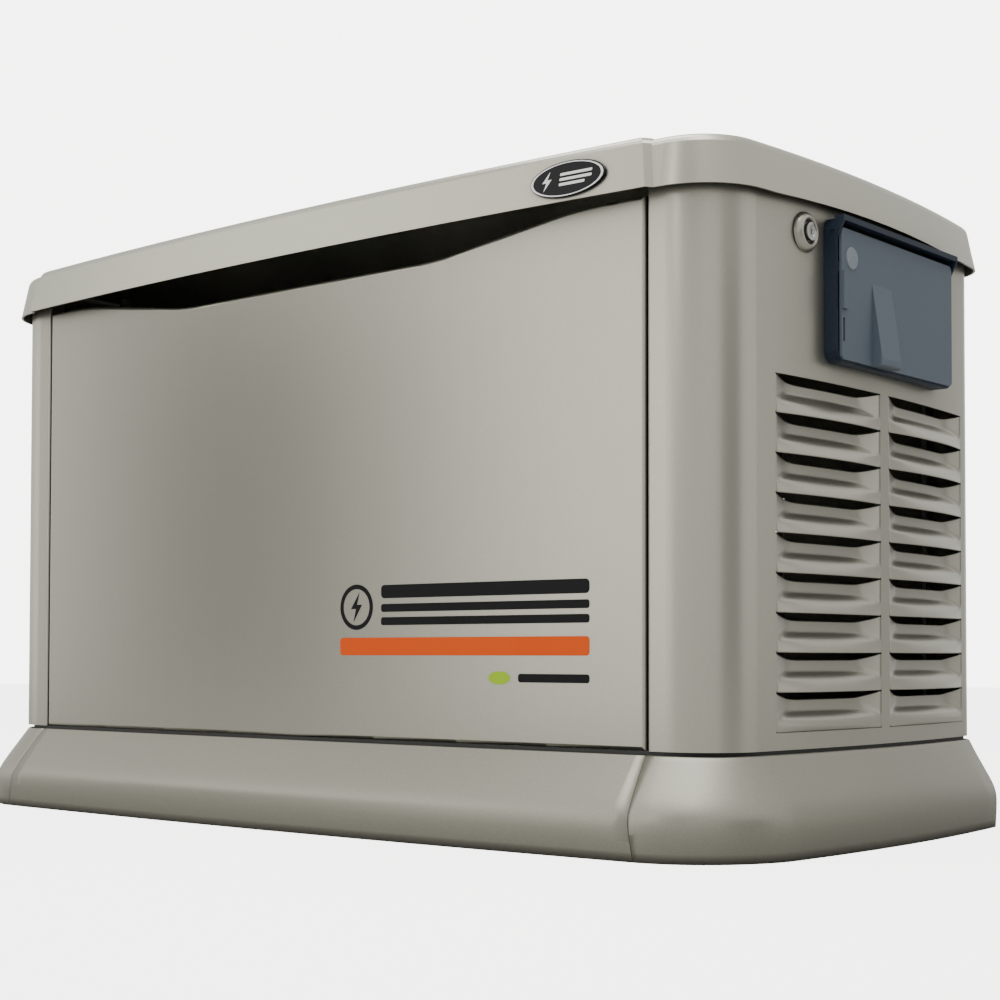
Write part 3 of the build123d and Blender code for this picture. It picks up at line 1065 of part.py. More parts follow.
with BuildPart() as bearing_carrier:
    add(square_ring(CARRIER_X, EAR_HALF, SHAFT_R + 4))
    rod_x((BEARING_X[0], BEARING_X[1]), AXIS_Y, AXIS_Z, BEARING_R, mode=Mode.SUBTRACT)
    for side in (-1, 1):
        foot = (AXIS_Y + side * (EAR_HALF - 40), FOOT_Y[(side + 1) // 2] + side * MOUNT_R)
        block(FOOT_CARRIER_X, (min(foot), max(foot)), (FOOT_BOTTOM, FOOT_BOTTOM + 14))
        leg = (AXIS_Y + side * (EAR_HALF - 40), AXIS_Y + side * EAR_HALF)
        block(FOOT_CARRIER_X, (min(leg), max(leg)), (FOOT_BOTTOM, AXIS_Z - EAR_HALF + 30))
save(bearing_carrier, "bearing_carrier")

with BuildPart() as rear_bearing:
    rod_x(BEARING_X, AXIS_Y, AXIS_Z, BEARING_R)
    rod_x((BEARING_X[0] - 1, BEARING_X[1] + 1), AXIS_Y, AXIS_Z, SHAFT_R + RUNNING, mode=Mode.SUBTRACT)
save(rear_bearing, "rear_bearing")


# ---------------------------------------------------------------- battery and its cables
POST_Y = (BATTERY_Y[0] + 30, BATTERY_Y[1] - 30)
POST_X, POST_TOP = BATTERY_X[0] + 30, BATTERY_Z[1] + 18
with BuildPart() as battery:
    with BuildPart(mode=Mode.PRIVATE) as case:
        block(BATTERY_X, BATTERY_Y, BATTERY_Z)
        fillet(case.edges().filter_by(Axis.Z), 5)
        fillet(case.faces().sort_by(Axis.Z)[-1].edges(), 3)
    add(case.part)
    for post_y in POST_Y:
        rod_z(POST_X, post_y, (BATTERY_Z[1], POST_TOP), 8)
save(battery, "battery")


def tube(points, radius):
    """A cable or hose: straight runs joined by arcs as large as the runs allow."""
    spots = [Vector(*point) for point in points]
    radii = []
    for before, here, after in zip(spots, spots[1:], spots[2:]):
        first, second = here - before, after - here
        turn = first.get_angle(second)
        radii.append(0.45 * min(first.length, second.length) / tan(radians(turn) / 2))
    print("tube radii", [round(r) for r in radii])
    with BuildPart(mode=Mode.PRIVATE) as hose:
        with BuildLine() as run:
            FilletPolyline(*points, radius=radii)
        with BuildSketch(Plane(origin=run.line @ 0, z_dir=run.line % 0)):
            Circle(radius)
        sweep(path=run.line)
    length = run.wires()[0].length
    print("tube length", round(length), "volume over section times length",
          round(hose.part.volume / (pi * radius**2 * length), 4))
    return hose.part


CABLE_R = 5.0
LUG_TOP = POST_TOP + 3
SOLENOID_END = (-110.0, STARTER_Y + 12, STARTER_Z + 52)
CABLE_RUNS = (
    [(POST_X, POST_Y[0], LUG_TOP), (POST_X - 4, POST_Y[0] + 3, 262), (338, -200, 300), (305, -174, 322),
     (262, -153, 331), (212, -143, 327), (162, -140, 306), (112, -139, 276), (62, -139, 246),
     (12, -136, 220), (-34, -131, 205), (-78, SOLENOID_END[1], SOLENOID_END[2]), SOLENOID_END],
    [(POST_X, POST_Y[1], LUG_TOP), (POST_X - 3, POST_Y[1] - 2, 256), (342, -114, 288), (312, -130, 312),
     (276, -135, 318), (244, -128, 306), (222, -110, 290), (222, AXIS_Y - EAR_HALF, 290)],
)
with BuildPart() as battery_cables:
    for post_y, points in zip(POST_Y, CABLE_RUNS):
        add(tube(points, CABLE_R))
        rod_z(POST_X, post_y, (POST_TOP, LUG_TOP + 2), 9)
save(battery_cables, "battery_cables")


# ---------------------------------------------------------------- fuel train
REGULATOR_X, REGULATOR_Y = (BULKHEAD_X - 60, BULKHEAD_X), (170.0, 235.0)
REGULATOR_Z = (FUEL_INLET_Z - 35, FUEL_INLET_Z + 35)
HOSE_R = 10.0
with BuildPart() as fuel_regulator:
    block(REGULATOR_X, REGULATOR_Y, REGULATOR_Z)
    fillet(fuel_regulator.edges().filter_by(Axis.Z), 8)
    rod_x((REGULATOR_X[0] - 16, REGULATOR_X[0]), sum(REGULATOR_Y) / 2, FUEL_INLET_Z, 30)    # diaphragm cap
    rod_y(FUEL_INLET_X, (REGULATOR_Y[1], BODY_REAR_Y + 26), FUEL_INLET_Z, FUEL_INLET_R)
    rod_y(FUEL_INLET_X, (REGULATOR_Y[1] + 1, BODY_REAR_Y + 27), FUEL_INLET_Z, FUEL_INLET_R - 3,
          mode=Mode.SUBTRACT)
    rod_z(sum(REGULATOR_X) / 2, sum(REGULATOR_Y) / 2, (REGULATOR_Z[1], REGULATOR_Z[1] + 14), HOSE_R - 1)
save(fuel_regulator, "fuel_regulator")

HOSE_START = (sum(REGULATOR_X) / 2, sum(REGULATOR_Y) / 2, REGULATOR_Z[1] + 14)
MIXER_MID_X = (MANIFOLD_X + 40 + AIR_BOX_X[0]) / 2
HOSE_END = (MIXER_MID_X, AXIS_Y + 44, MANIFOLD_TOP)
with BuildPart() as fuel_hose:
    add(tube([HOSE_START, (HOSE_START[0], HOSE_START[1], 310), (246, 196, 366), (206, 184, 408),
              (152, 172, 436), (92, 168, 452), (32, 164, 464), (-24, 156, MANIFOLD_TOP - 6),
              (MIXER_MID_X, 118, MANIFOLD_TOP), HOSE_END], HOSE_R))
save(fuel_hose, "fuel_hose")


# ---------------------------------------------------------------- control box
face_lean = radians(FACE_TILT)
FACE_TOP = (FACE_LOW[0] + FACE_LENGTH * sin(face_lean), FACE_LOW[1] + FACE_LENGTH * cos(face_lean))
BOX_BOTTOM, BOX_BACK_Y = 410.0, -110.0
FACE_PLANE = Plane(origin=(sum(BOX_X) / 2, (FACE_LOW[0] + FACE_TOP[0]) / 2, (FACE_LOW[1] + FACE_TOP[1]) / 2),
                   x_dir=(1, 0, 0), z_dir=(0, -cos(face_lean), sin(face_lean)))
BOX_WALL = 2.0
with BuildPart() as control_box:
    with BuildSketch(Plane.YZ.offset(BOX_X[0])):
        Polygon(FACE_LOW, FACE_TOP, (BOX_BACK_Y, FACE_TOP[1]), (BOX_BACK_Y, BOX_BOTTOM),
                (FACE_LOW[0], BOX_BOTTOM), align=None)
    extrude(amount=BOX_X[1] - BOX_X[0])
    offset(amount=-BOX_WALL, openings=control_box.faces().sort_by(Axis((0, 0, 0), (0, -1, 0.577)))[-1:])
save(control_box, "control_box")

KEY_SPACING, KEY_DOWN = 46.0, -34.0
KEY_NAMES = {-1: "key_off", 0: "key_manual", 1: "key_auto"}
with BuildPart() as control_face:
    with BuildSketch(FACE_PLANE):
        RectangleRounded(BOX_X[1] - BOX_X[0] - 2, FACE_LENGTH - 2, 4)
    extrude(amount=FACE_THICK)
    with BuildSketch(FACE_PLANE.offset(FACE_THICK)):
        with Locations((0, 28)):
            RectangleRounded(120, 46, 4)                      # display bezel
    extrude(amount=2.5)
    with BuildSketch(FACE_PLANE.offset(FACE_THICK + 1.5)):
        with Locations((0, 28)):
            RectangleRounded(104, 32, 2)
    extrude(amount=2, mode=Mode.SUBTRACT)
    for place in KEY_NAMES:
        with BuildSketch(FACE_PLANE.offset(-1)):
            with Locations((place * KEY_SPACING, KEY_DOWN)):
                Circle(KEY_R + RUNNING)
        extrude(amount=FACE_THICK + 5, mode=Mode.SUBTRACT)
save(control_face, "control_face")

for place, name in KEY_NAMES.items():
    with BuildPart() as key:
        with BuildSketch(FACE_PLANE.offset(0.5)):
            with Locations((place * KEY_SPACING, KEY_DOWN)):
                Circle(KEY_R)
        extrude(amount=FACE_THICK + 2.5)
        fillet(key.faces().sort_by(Axis((0, 0, 0), FACE_PLANE.z_dir))[-1].edges(), 1.0)
    save(key, name)
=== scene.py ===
# %% [markdown]
# # A home standby generator
#
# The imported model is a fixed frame: every panel, bracket and engine part already has its true size and place.
# This lesson dresses that frame. It sets up the camera and the studio first, then makes each finish, then adds
# the pieces that a plain sheet-metal model lacks: smooth mouldings, pressed louvres, graphics and small trim.

# %% Load the frame
import json
import math

import bmesh
import bpy
from mathutils import Matrix, Vector
from mathutils.bvhtree import BVHTree
from mathutils.kdtree import KDTree


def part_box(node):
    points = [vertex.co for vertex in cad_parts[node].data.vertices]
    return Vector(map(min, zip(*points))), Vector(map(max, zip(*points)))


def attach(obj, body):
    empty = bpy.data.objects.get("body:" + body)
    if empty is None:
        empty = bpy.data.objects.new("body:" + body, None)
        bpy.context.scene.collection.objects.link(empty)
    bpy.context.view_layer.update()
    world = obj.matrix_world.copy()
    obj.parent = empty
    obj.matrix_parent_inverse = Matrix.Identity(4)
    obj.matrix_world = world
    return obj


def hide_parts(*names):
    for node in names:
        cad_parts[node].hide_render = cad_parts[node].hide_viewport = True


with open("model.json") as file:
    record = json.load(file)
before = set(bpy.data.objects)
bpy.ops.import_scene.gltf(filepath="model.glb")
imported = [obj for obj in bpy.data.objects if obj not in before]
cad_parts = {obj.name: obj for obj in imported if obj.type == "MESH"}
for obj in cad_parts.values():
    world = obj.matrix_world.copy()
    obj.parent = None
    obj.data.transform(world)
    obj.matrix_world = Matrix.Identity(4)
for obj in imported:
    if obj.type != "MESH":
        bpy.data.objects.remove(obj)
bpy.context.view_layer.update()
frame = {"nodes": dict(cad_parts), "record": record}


# %% [markdown]
# ## Camera
#
# The camera stands low and close to a corner, so that the cabinet looks tall and solid. The lens is fairly
# long. The frame is shifted up a little instead of tilting the camera, which keeps the upright edges parallel.

# %% Camera
CAMERA_PLACE = (1.5527, -1.7433, 0.2022)
CAMERA_YAW, CAMERA_PITCH, CAMERA_ROLL = 39.58, 1.725, 0.074        # degrees
LENS_MM, SENSOR_MM = 64.4, 36.0
SHIFT_RIGHT, SHIFT_UP = -0.0257, 0.1014                            # shares of the picture's width

camera_data = bpy.data.cameras.new("camera")
camera_data.lens = LENS_MM
camera_data.sensor_width = SENSOR_MM
camera_data.shift_x = SHIFT_RIGHT
camera_data.shift_y = SHIFT_UP
camera = bpy.data.objects.new("camera", camera_data)
bpy.context.collection.objects.link(camera)
turn = Matrix.Rotation(math.radians(CAMERA_YAW), 4, "Z")
tilt = Matrix.Rotation(math.radians(90 + CAMERA_PITCH), 4, "X")
roll = Matrix.Rotation(math.radians(CAMERA_ROLL), 4, "Z")
camera.matrix_world = Matrix.Translation(CAMERA_PLACE) @ turn @ tilt @ roll
bpy.context.scene.camera = camera
print("camera", tuple(round(value, 3) for value in camera.location))

# %% [markdown]
# ## Studio
#
# Satin metallic paint shows the room more than it shows itself. A plain white room would make the cabinet look flat,
# so large cards stand outside the view: white ones make the bright bands that run up the panels, and dark ones make
# the soft grey bands between them. The cards are hidden from the camera, so they only appear as reflections.

# %% Floor
FLOOR_SIZE = 9.0        # half the side, in metres
PAPER_COLOUR, PAPER_ROUGHNESS = (0.42, 0.42, 0.41), 0.9
PAPER_GLOW = 4.2        # added for camera rays only, so the paper lights nothing


def flat_material(name, colour, roughness):
    """A plain surface for the studio itself."""
    material = bpy.data.materials.new(name)
    material.use_nodes = True
    shader = material.node_tree.nodes["Principled BSDF"]
    shader.inputs["Base Color"].default_value = (*colour, 1)
    shader.inputs["Roughness"].default_value = roughness
    return material


def mesh_object(name, mesh_builder, material):
    """Turns a finished bmesh into an object at the origin."""
    mesh = bpy.data.meshes.new(name)
    mesh_builder.to_mesh(mesh)
    mesh_builder.free()
    piece = bpy.data.objects.new(name, mesh)
    bpy.context.collection.objects.link(piece)
    mesh.materials.append(material)
    return piece


sheet = bmesh.new()
bmesh.ops.create_grid(sheet, x_segments=1, y_segments=1, size=FLOOR_SIZE)
floor_paper = flat_material("studio_floor", PAPER_COLOUR, PAPER_ROUGHNESS)
floor = mesh_object("floor", sheet, floor_paper)
paper_rays = floor_paper.node_tree.nodes.new("ShaderNodeLightPath")
paper_glow = floor_paper.node_tree.nodes.new("ShaderNodeMapRange")
paper_glow.inputs["To Max"].default_value = PAPER_GLOW
floor_paper.node_tree.links.new(paper_rays.outputs["Is Camera Ray"], paper_glow.inputs["Value"])
paper_shader = floor_paper.node_tree.nodes["Principled BSDF"]
paper_shader.inputs["Emission Color"].default_value = (1, 1, 0.99, 1)
floor_paper.node_tree.links.new(paper_glow.outputs["Result"], paper_shader.inputs["Emission Strength"])
print("floor", FLOOR_SIZE * 2, "m square")

# %% Room light and cards
ROOM_LIGHT, ROOM_SEEN = 1.0, 6.0        # the camera sees the backdrop as white paper
room = bpy.data.worlds.new("room")
room.use_nodes = True
room.node_tree.nodes["Background"].inputs["Color"].default_value = (1.0, 1.0, 0.985, 1)
rays = room.node_tree.nodes.new("ShaderNodeLightPath")
seen = room.node_tree.nodes.new("ShaderNodeMapRange")
seen.inputs["To Min"].default_value = ROOM_LIGHT
seen.inputs["To Max"].default_value = ROOM_SEEN
room.node_tree.links.new(rays.outputs["Is Camera Ray"], seen.inputs["Value"])
room.node_tree.links.new(seen.outputs["Result"], room.node_tree.nodes["Background"].inputs["Strength"])
bpy.context.scene.world = room


def glow_material(name, strength):
    """A card of the given brightness: 0 is black cloth, 1 is white paper, more is a lamp."""
    material = bpy.data.materials.new(name)
    material.use_nodes = True
    shader = material.node_tree.nodes["Principled BSDF"]
    shader.inputs["Base Color"].default_value = (0, 0, 0, 1)
    shader.inputs["Roughness"].default_value = 1.0
    shader.inputs["Specular IOR Level"].default_value = 0.0
    shader.inputs["Emission Color"].default_value = (1.0, 0.995, 0.97, 1)
    shader.inputs["Emission Strength"].default_value = strength
    return material


def card(name, bearing, distance, width, low, high, brightness):
    """An upright card on a bearing in degrees round the cabinet, counted from the front towards its left."""
    builder = bmesh.new()
    bmesh.ops.create_grid(builder, x_segments=1, y_segments=1, size=0.5)
    bmesh.ops.scale(builder, verts=builder.verts, vec=(width, high - low, 1))
    bmesh.ops.rotate(builder, verts=builder.verts, matrix=Matrix.Rotation(math.pi / 2, 3, "X"))
    bmesh.ops.translate(builder, verts=builder.verts, vec=(0, -distance, (low + high) / 2))
    bmesh.ops.rotate(builder, verts=builder.verts, matrix=Matrix.Rotation(-math.radians(bearing), 3, "Z"))
    piece = mesh_object(name, builder, glow_material(name, brightness))
    piece.visible_camera = False
    piece.visible_shadow = False
    return piece


CARDS = (
    ("card_bright_front", 24.0, 4.2, 1.4, 0.0, 1.7, 2.3),
    ("card_middle_front", 37.5, 4.2, 0.6, 0.0, 1.7, 0.6),
    ("card_dark_front", 46.0, 4.3, 1.0, -0.2, 1.7, 0.0),
    ("card_soft_left", 54.5, 4.3, 0.35, 0.0, 1.7, 0.45),
    ("card_light_left", 67.0, 4.4, 1.5, 0.0, 1.7, 1.6),
    ("card_high_front", 44.0, 4.6, 3.3, 1.75, 4.4, 2.0),
    ("card_high_dark", 15.0, 4.6, 0.7, 1.75, 4.4, 0.3),
    ("card_high_spark", 5.0, 4.6, 0.6, 1.75, 4.4, 5.0),
    ("card_high_shade", -20.0, 4.6, 2.2, 1.75, 4.4, 0.6),
    ("card_grey_right", -146.0, 4.4, 2.6, 0.0, 2.2, 0.5),
    ("card_dark_right", -80.0, 4.4, 2.4, 0.0, 1.7, 0.3),
)
for entry in CARDS:
    card(*entry)
print("cards", [entry[0] for entry in CARDS])

# %% Overhead lamp
OVERHEAD_SIZE, OVERHEAD_WATTS = (2.4, 1.6), 60.0
OVERHEAD_PLACE, OVERHEAD_TILT = (0.3, -0.7, 2.6), -12        # metres and degrees

overhead = bpy.data.lights.new("overhead", "AREA")
overhead.shape = "RECTANGLE"
overhead.size, overhead.size_y = OVERHEAD_SIZE
overhead.energy = OVERHEAD_WATTS
overhead_lamp = bpy.data.objects.new("overhead", overhead)
bpy.context.collection.objects.link(overhead_lamp)
overhead_lamp.location = OVERHEAD_PLACE
overhead_lamp.rotation_euler = (math.radians(OVERHEAD_TILT), 0, 0)
overhead_lamp.visible_camera = False
print("overhead lamp", overhead.energy, "W")

# %% [markdown]
# ## Finishes
#
# Every finish is built from the same few effects: a slow drift of tone, a fine skin that the light catches, bare
# edges, and dust where it settles. Each effect is a node group with its own inputs, so it is made once and then
# placed in a material with values that suit paint, casting, rubber or steel. The groups read object coordinates,
# because a piece's mesh already lies in its true place and needs no unwrapping.

# %% A helper for node groups
def effect_group(name, inputs, outputs):
    """An empty shader node group with named inputs and outputs."""
    group = bpy.data.node_groups.new(name, "ShaderNodeTree")
    for label, value in inputs.items():
        socket = group.interface.new_socket(name=label, in_out="INPUT", socket_type="NodeSocketFloat")
        socket.default_value = value
    for label in outputs:
        group.interface.new_socket(name=label, in_out="OUTPUT", socket_type="NodeSocketFloat")
    return group, group.nodes.new("NodeGroupInput"), group.nodes.new("NodeGroupOutput")


def maths(tree, operation, first, second=None, clamp=False):
    """One math node; each operand is a number or a socket."""
    node = tree.nodes.new("ShaderNodeMath")
    node.operation = operation
    node.use_clamp = clamp
    for index, operand in enumerate((first, second)):
        if isinstance(operand, bpy.types.NodeSocket):
            tree.links.new(operand, node.inputs[index])
        elif operand is not None:
            node.inputs[index].default_value = operand
    return node.outputs[0]


def cloud(tree, place, scale, detail=2.0, roughness=0.5):
    """A noise texture that reads the given coordinates."""
    node = tree.nodes.new("ShaderNodeTexNoise")
    node.inputs["Detail"].default_value = detail
    node.inputs["Roughness"].default_value = roughness
    tree.links.new(place, node.inputs["Vector"])
    if isinstance(scale, bpy.types.NodeSocket):
        tree.links.new(scale, node.inputs["Scale"])
    else:
        node.inputs["Scale"].default_value = scale
    return node.outputs["Fac"]


# %% Slow drift of tone
DRIFT, drift_in, drift_out = effect_group("tone_drift", {"Scale": 3.0, "Contrast": 1.0}, ["Mask"])
drift_place = DRIFT.nodes.new("ShaderNodeTexCoord").outputs["Object"]
drift_cloud = cloud(DRIFT, drift_place, drift_in.outputs["Scale"], 3.0)
drift_centred = maths(DRIFT, "SUBTRACT", drift_cloud, 0.5)
drift_scaled = maths(DRIFT, "MULTIPLY", drift_centred, drift_in.outputs["Contrast"])
DRIFT.links.new(maths(DRIFT, "ADD", drift_scaled, 0.5, clamp=True), drift_out.inputs["Mask"])
print("group", DRIFT.name)

# %% Fine skin: the small bumps of sprayed paint, moulded plastic or a sand casting
SKIN, skin_in, skin_out = effect_group("fine_skin", {"Scale": 400.0, "Coarse": 0.3}, ["Height", "Fleck"])
skin_place = SKIN.nodes.new("ShaderNodeTexCoord").outputs["Object"]
skin_fine = cloud(SKIN, skin_place, skin_in.outputs["Scale"], 2.0)
skin_coarse = cloud(SKIN, skin_place, maths(SKIN, "MULTIPLY", skin_in.outputs["Scale"], 0.17), 1.0)
skin_share = maths(SKIN, "MULTIPLY", skin_coarse, skin_in.outputs["Coarse"])
SKIN.links.new(maths(SKIN, "ADD", skin_fine, skin_share), skin_out.inputs["Height"])
skin_speck = cloud(SKIN, skin_place, maths(SKIN, "MULTIPLY", skin_in.outputs["Scale"], 2.3), 0.0)
SKIN.links.new(maths(SKIN, "GREATER_THAN", skin_speck, 0.62), skin_out.inputs["Fleck"])
print("group", SKIN.name)

# %% Brushed lines: noise that is stretched along one direction
BRUSH, brush_in, brush_out = effect_group("brushed_lines", {"Scale": 60.0, "Stretch": 18.0}, ["Height"])
brush_place = BRUSH.nodes.new("ShaderNodeTexCoord").outputs["Object"]
brush_split = BRUSH.nodes.new("ShaderNodeSeparateXYZ")
BRUSH.links.new(brush_place, brush_split.inputs[0])
brush_join = BRUSH.nodes.new("ShaderNodeCombineXYZ")
BRUSH.links.new(brush_split.outputs["X"], brush_join.inputs["X"])
for axis in ("Y", "Z"):
    stretched = maths(BRUSH, "MULTIPLY", brush_split.outputs[axis], brush_in.outputs["Stretch"])
    BRUSH.links.new(stretched, brush_join.inputs[axis])
BRUSH.links.new(cloud(BRUSH, brush_join.outputs[0], brush_in.outputs["Scale"], 2.0), brush_out.inputs["Height"])
print("group", BRUSH.name)

# %% Edge wear: the rounded normal of the Bevel node differs from the true one only near an edge
WEAR, wear_in, wear_out = effect_group("edge_wear", {"Radius": 0.0015, "Amount": 1.0, "Patch": 60.0}, ["Mask"])
wear_bevel = WEAR.nodes.new("ShaderNodeBevel")
wear_bevel.samples = 4
WEAR.links.new(wear_in.outputs["Radius"], wear_bevel.inputs["Radius"])
wear_dot = WEAR.nodes.new("ShaderNodeVectorMath")
wear_dot.operation = "DOT_PRODUCT"
WEAR.links.new(wear_bevel.outputs[0], wear_dot.inputs[0])
WEAR.links.new(WEAR.nodes.new("ShaderNodeNewGeometry").outputs["Normal"], wear_dot.inputs[1])
wear_edge = maths(WEAR, "MULTIPLY", maths(WEAR, "SUBTRACT", 1.0, wear_dot.outputs["Value"]), 5.0, clamp=True)
wear_place = WEAR.nodes.new("ShaderNodeTexCoord").outputs["Object"]
wear_patch = maths(WEAR, "MULTIPLY", cloud(WEAR, wear_place, wear_in.outputs["Patch"], 3.0), 1.4, clamp=True)
wear_strength = maths(WEAR, "MULTIPLY", wear_patch, wear_in.outputs["Amount"])
WEAR.links.new(maths(WEAR, "MULTIPLY", wear_edge, wear_strength, clamp=True), wear_out.inputs["Mask"])
print("group", WEAR.name)

# %% Dust: it settles on faces that look up
DUST, dust_in, dust_out = effect_group("settled_dust", {"Amount": 0.3, "Patch": 14.0}, ["Mask"])
dust_coordinates = DUST.nodes.new("ShaderNodeTexCoord")
dust_split = DUST.nodes.new("ShaderNodeSeparateXYZ")
DUST.links.new(dust_coordinates.outputs["Normal"], dust_split.inputs[0])
dust_up = maths(DUST, "POWER", maths(DUST, "MAXIMUM", dust_split.outputs["Z"], 0.0), 3.0)
dust_patch = cloud(DUST, dust_coordinates.outputs["Object"], dust_in.outputs["Patch"], 4.0, 0.6)
dust_share = maths(DUST, "MULTIPLY", dust_patch, dust_in.outputs["Amount"])
DUST.links.new(maths(DUST, "MULTIPLY", dust_up, dust_share, clamp=True), dust_out.inputs["Mask"])
print("group", DUST.name)

# %% Painted shade: a mask that is strong in folds and under overhangs, by how closed in each point is
SHADE_GROUP, shade_in, shade_out = effect_group("painted_shade_group", {"Reach": 0.04, "Amount": 0.8}, ["Mask"])
shade_ao = SHADE_GROUP.nodes.new("ShaderNodeAmbientOcclusion")
shade_ao.samples = 6
SHADE_GROUP.links.new(shade_in.outputs["Reach"], shade_ao.inputs["Distance"])
shade_closed = maths(SHADE_GROUP, "SUBTRACT", 1.0, shade_ao.outputs["AO"])
shade_bent = maths(SHADE_GROUP, "POWER", maths(SHADE_GROUP, "MAXIMUM", shade_closed, 0.0), 1.5)
shade_scaled = maths(SHADE_GROUP, "MULTIPLY", shade_bent, shade_in.outputs["Amount"])
SHADE_GROUP.links.new(maths(SHADE_GROUP, "MULTIPLY", shade_scaled, 2.0, clamp=True), shade_out.inputs["Mask"])
print("group", SHADE_GROUP.name)

# %% [markdown]
# ### One recipe, many finishes
#
# A finish names its base colour, a second colour that the tone drifts towards, its gloss, and how much of each
# effect it carries. Numbers that are the same all over go straight on the shader's sockets. Only what changes over
# the surface is wired: the colour, the roughness, the metallic part where paint has worn through, and the bump.

# %% The finish recipe
def place_group(tree, group, **values):
    """Puts a node group in a material with its own values."""
    node = tree.nodes.new("ShaderNodeGroup")
    node.node_tree = group
    for label, value in values.items():
        node.inputs[label].default_value = value
    return node


def blend_colour(tree, mask, below, above):
    """Mixes two colours by a mask; each is a colour or a socket."""
    node = tree.nodes.new("ShaderNodeMix")
    node.data_type = "RGBA"
    tree.links.new(mask, node.inputs[0])
    for socket, value in ((node.inputs[6], below), (node.inputs[7], above)):
        if isinstance(value, bpy.types.NodeSocket):
            tree.links.new(value, socket)
        else:
            socket.default_value = (*value, 1)
    return node.outputs[2]


def span(tree, mask, low, high):
    """A value that runs from low to high with a mask."""
    node = tree.nodes.new("ShaderNodeMapRange")
    tree.links.new(mask, node.inputs["Value"])
    node.inputs["To Min"].default_value = low
    node.inputs["To Max"].default_value = high
    return node.outputs["Result"]


FINISHES = {}
TONE_CONTRAST = 1.6
WORN_RADIUS, WORN_PATCH = 0.0016, 70.0          # metres, and patches per metre
DUST_COLOUR, DUST_PATCH, DUST_DULLS = (0.42, 0.39, 0.34), 16.0, 0.35
# Painted shade: the colour is darkened to this share in folds and under overhangs, and the gloss is dulled there.
SHADE_REACH, SHADE_DARKENS, SHADE_DULLS = 0.08, 0.16, 0.3


def finish(name, colour, second, rough, metal=0.0, drift=3.0, skin=400.0, depth=0.15, coarse=0.3, reach=0.0006,
           brushed=0.0, worn=0.0, bare=(0.55, 0.54, 0.52), dust=0.0, coat=0.0, fleck=None, shade_amount=0.0, shine=0.5):
    """Builds one material; rough is the lowest and highest roughness."""
    material = bpy.data.materials.new(name)
    material.use_nodes = True
    tree = material.node_tree
    shader = tree.nodes["Principled BSDF"]
    tone = place_group(tree, DRIFT, Scale=drift, Contrast=TONE_CONTRAST).outputs["Mask"]
    surface = place_group(tree, SKIN, Scale=skin, Coarse=coarse)
    paint = blend_colour(tree, tone, colour, second)
    if fleck:
        paint = blend_colour(tree, surface.outputs["Fleck"], paint, fleck)
    gloss = span(tree, tone, *rough)
    height = surface.outputs["Height"]
    if brushed:
        lines = place_group(tree, BRUSH, Scale=brushed, Stretch=16.0).outputs["Height"]
        height = maths(tree, "ADD", height, lines)
        gloss = maths(tree, "ADD", gloss, span(tree, lines, -0.07, 0.07))
    if worn:
        edge = place_group(tree, WEAR, Radius=WORN_RADIUS, Amount=worn, Patch=WORN_PATCH).outputs["Mask"]
        paint = blend_colour(tree, edge, paint, bare)
        if metal < 0.9:
            tree.links.new(span(tree, edge, metal, 0.95), shader.inputs["Metallic"])
    if dust:
        settled = place_group(tree, DUST, Amount=dust, Patch=DUST_PATCH).outputs["Mask"]
        paint = blend_colour(tree, settled, paint, DUST_COLOUR)
        gloss = maths(tree, "ADD", gloss, maths(tree, "MULTIPLY", settled, DUST_DULLS), clamp=True)
    # Painted shade: where nearby surfaces close a point in, the colour is darkened and the gloss dulled.
    if shade_amount:
        shade_mask = place_group(tree, SHADE_GROUP, Reach=SHADE_REACH, Amount=shade_amount).outputs["Mask"]
        paint = blend_colour(tree, shade_mask, paint, tuple(SHADE_DARKENS * part for part in colour))
        gloss = maths(tree, "ADD", gloss, maths(tree, "MULTIPLY", shade_mask, SHADE_DULLS), clamp=True)
    shader.inputs["Specular IOR Level"].default_value = shine
    bump = tree.nodes.new("ShaderNodeBump")
    bump.inputs["Strength"].default_value = depth
    bump.inputs["Distance"].default_value = reach
    tree.links.new(height, bump.inputs["Height"])
    tree.links.new(bump.outputs[0], shader.inputs["Normal"])
    tree.links.new(paint, shader.inputs["Base Color"])
    tree.links.new(gloss, shader.inputs["Roughness"])
    if not shader.inputs["Metallic"].is_linked:
        shader.inputs["Metallic"].default_value = metal
    if coat:
        shader.inputs["Coat Weight"].default_value = coat
        shader.inputs["Coat Roughness"].default_value = 0.12
    FINISHES[name] = material
    return material


# %% Cabinet paint
# A champagne powder coat with a metallic base: the flecks are finer than a grain of sand.
# Both cabinet paints carry painted shade: they darken in folds and under overhangs such as the lid.
finish("enclosure_paint", (0.45, 0.44, 0.365), (0.43, 0.42, 0.35), (0.27, 0.31), metal=0.86, drift=1.4,
       skin=900.0, depth=0.03, reach=0.0002, worn=0.05, coat=0.1, fleck=(0.51, 0.50, 0.42), shade_amount=0.75)
finish("fascia_paint", (0.32, 0.312, 0.255), (0.305, 0.297, 0.245), (0.36, 0.41), metal=0.84, drift=1.6,
       skin=800.0, depth=0.05, reach=0.0002, fleck=(0.37, 0.362, 0.30), shade_amount=0.5)
print("cabinet finishes", sorted(FINISHES))

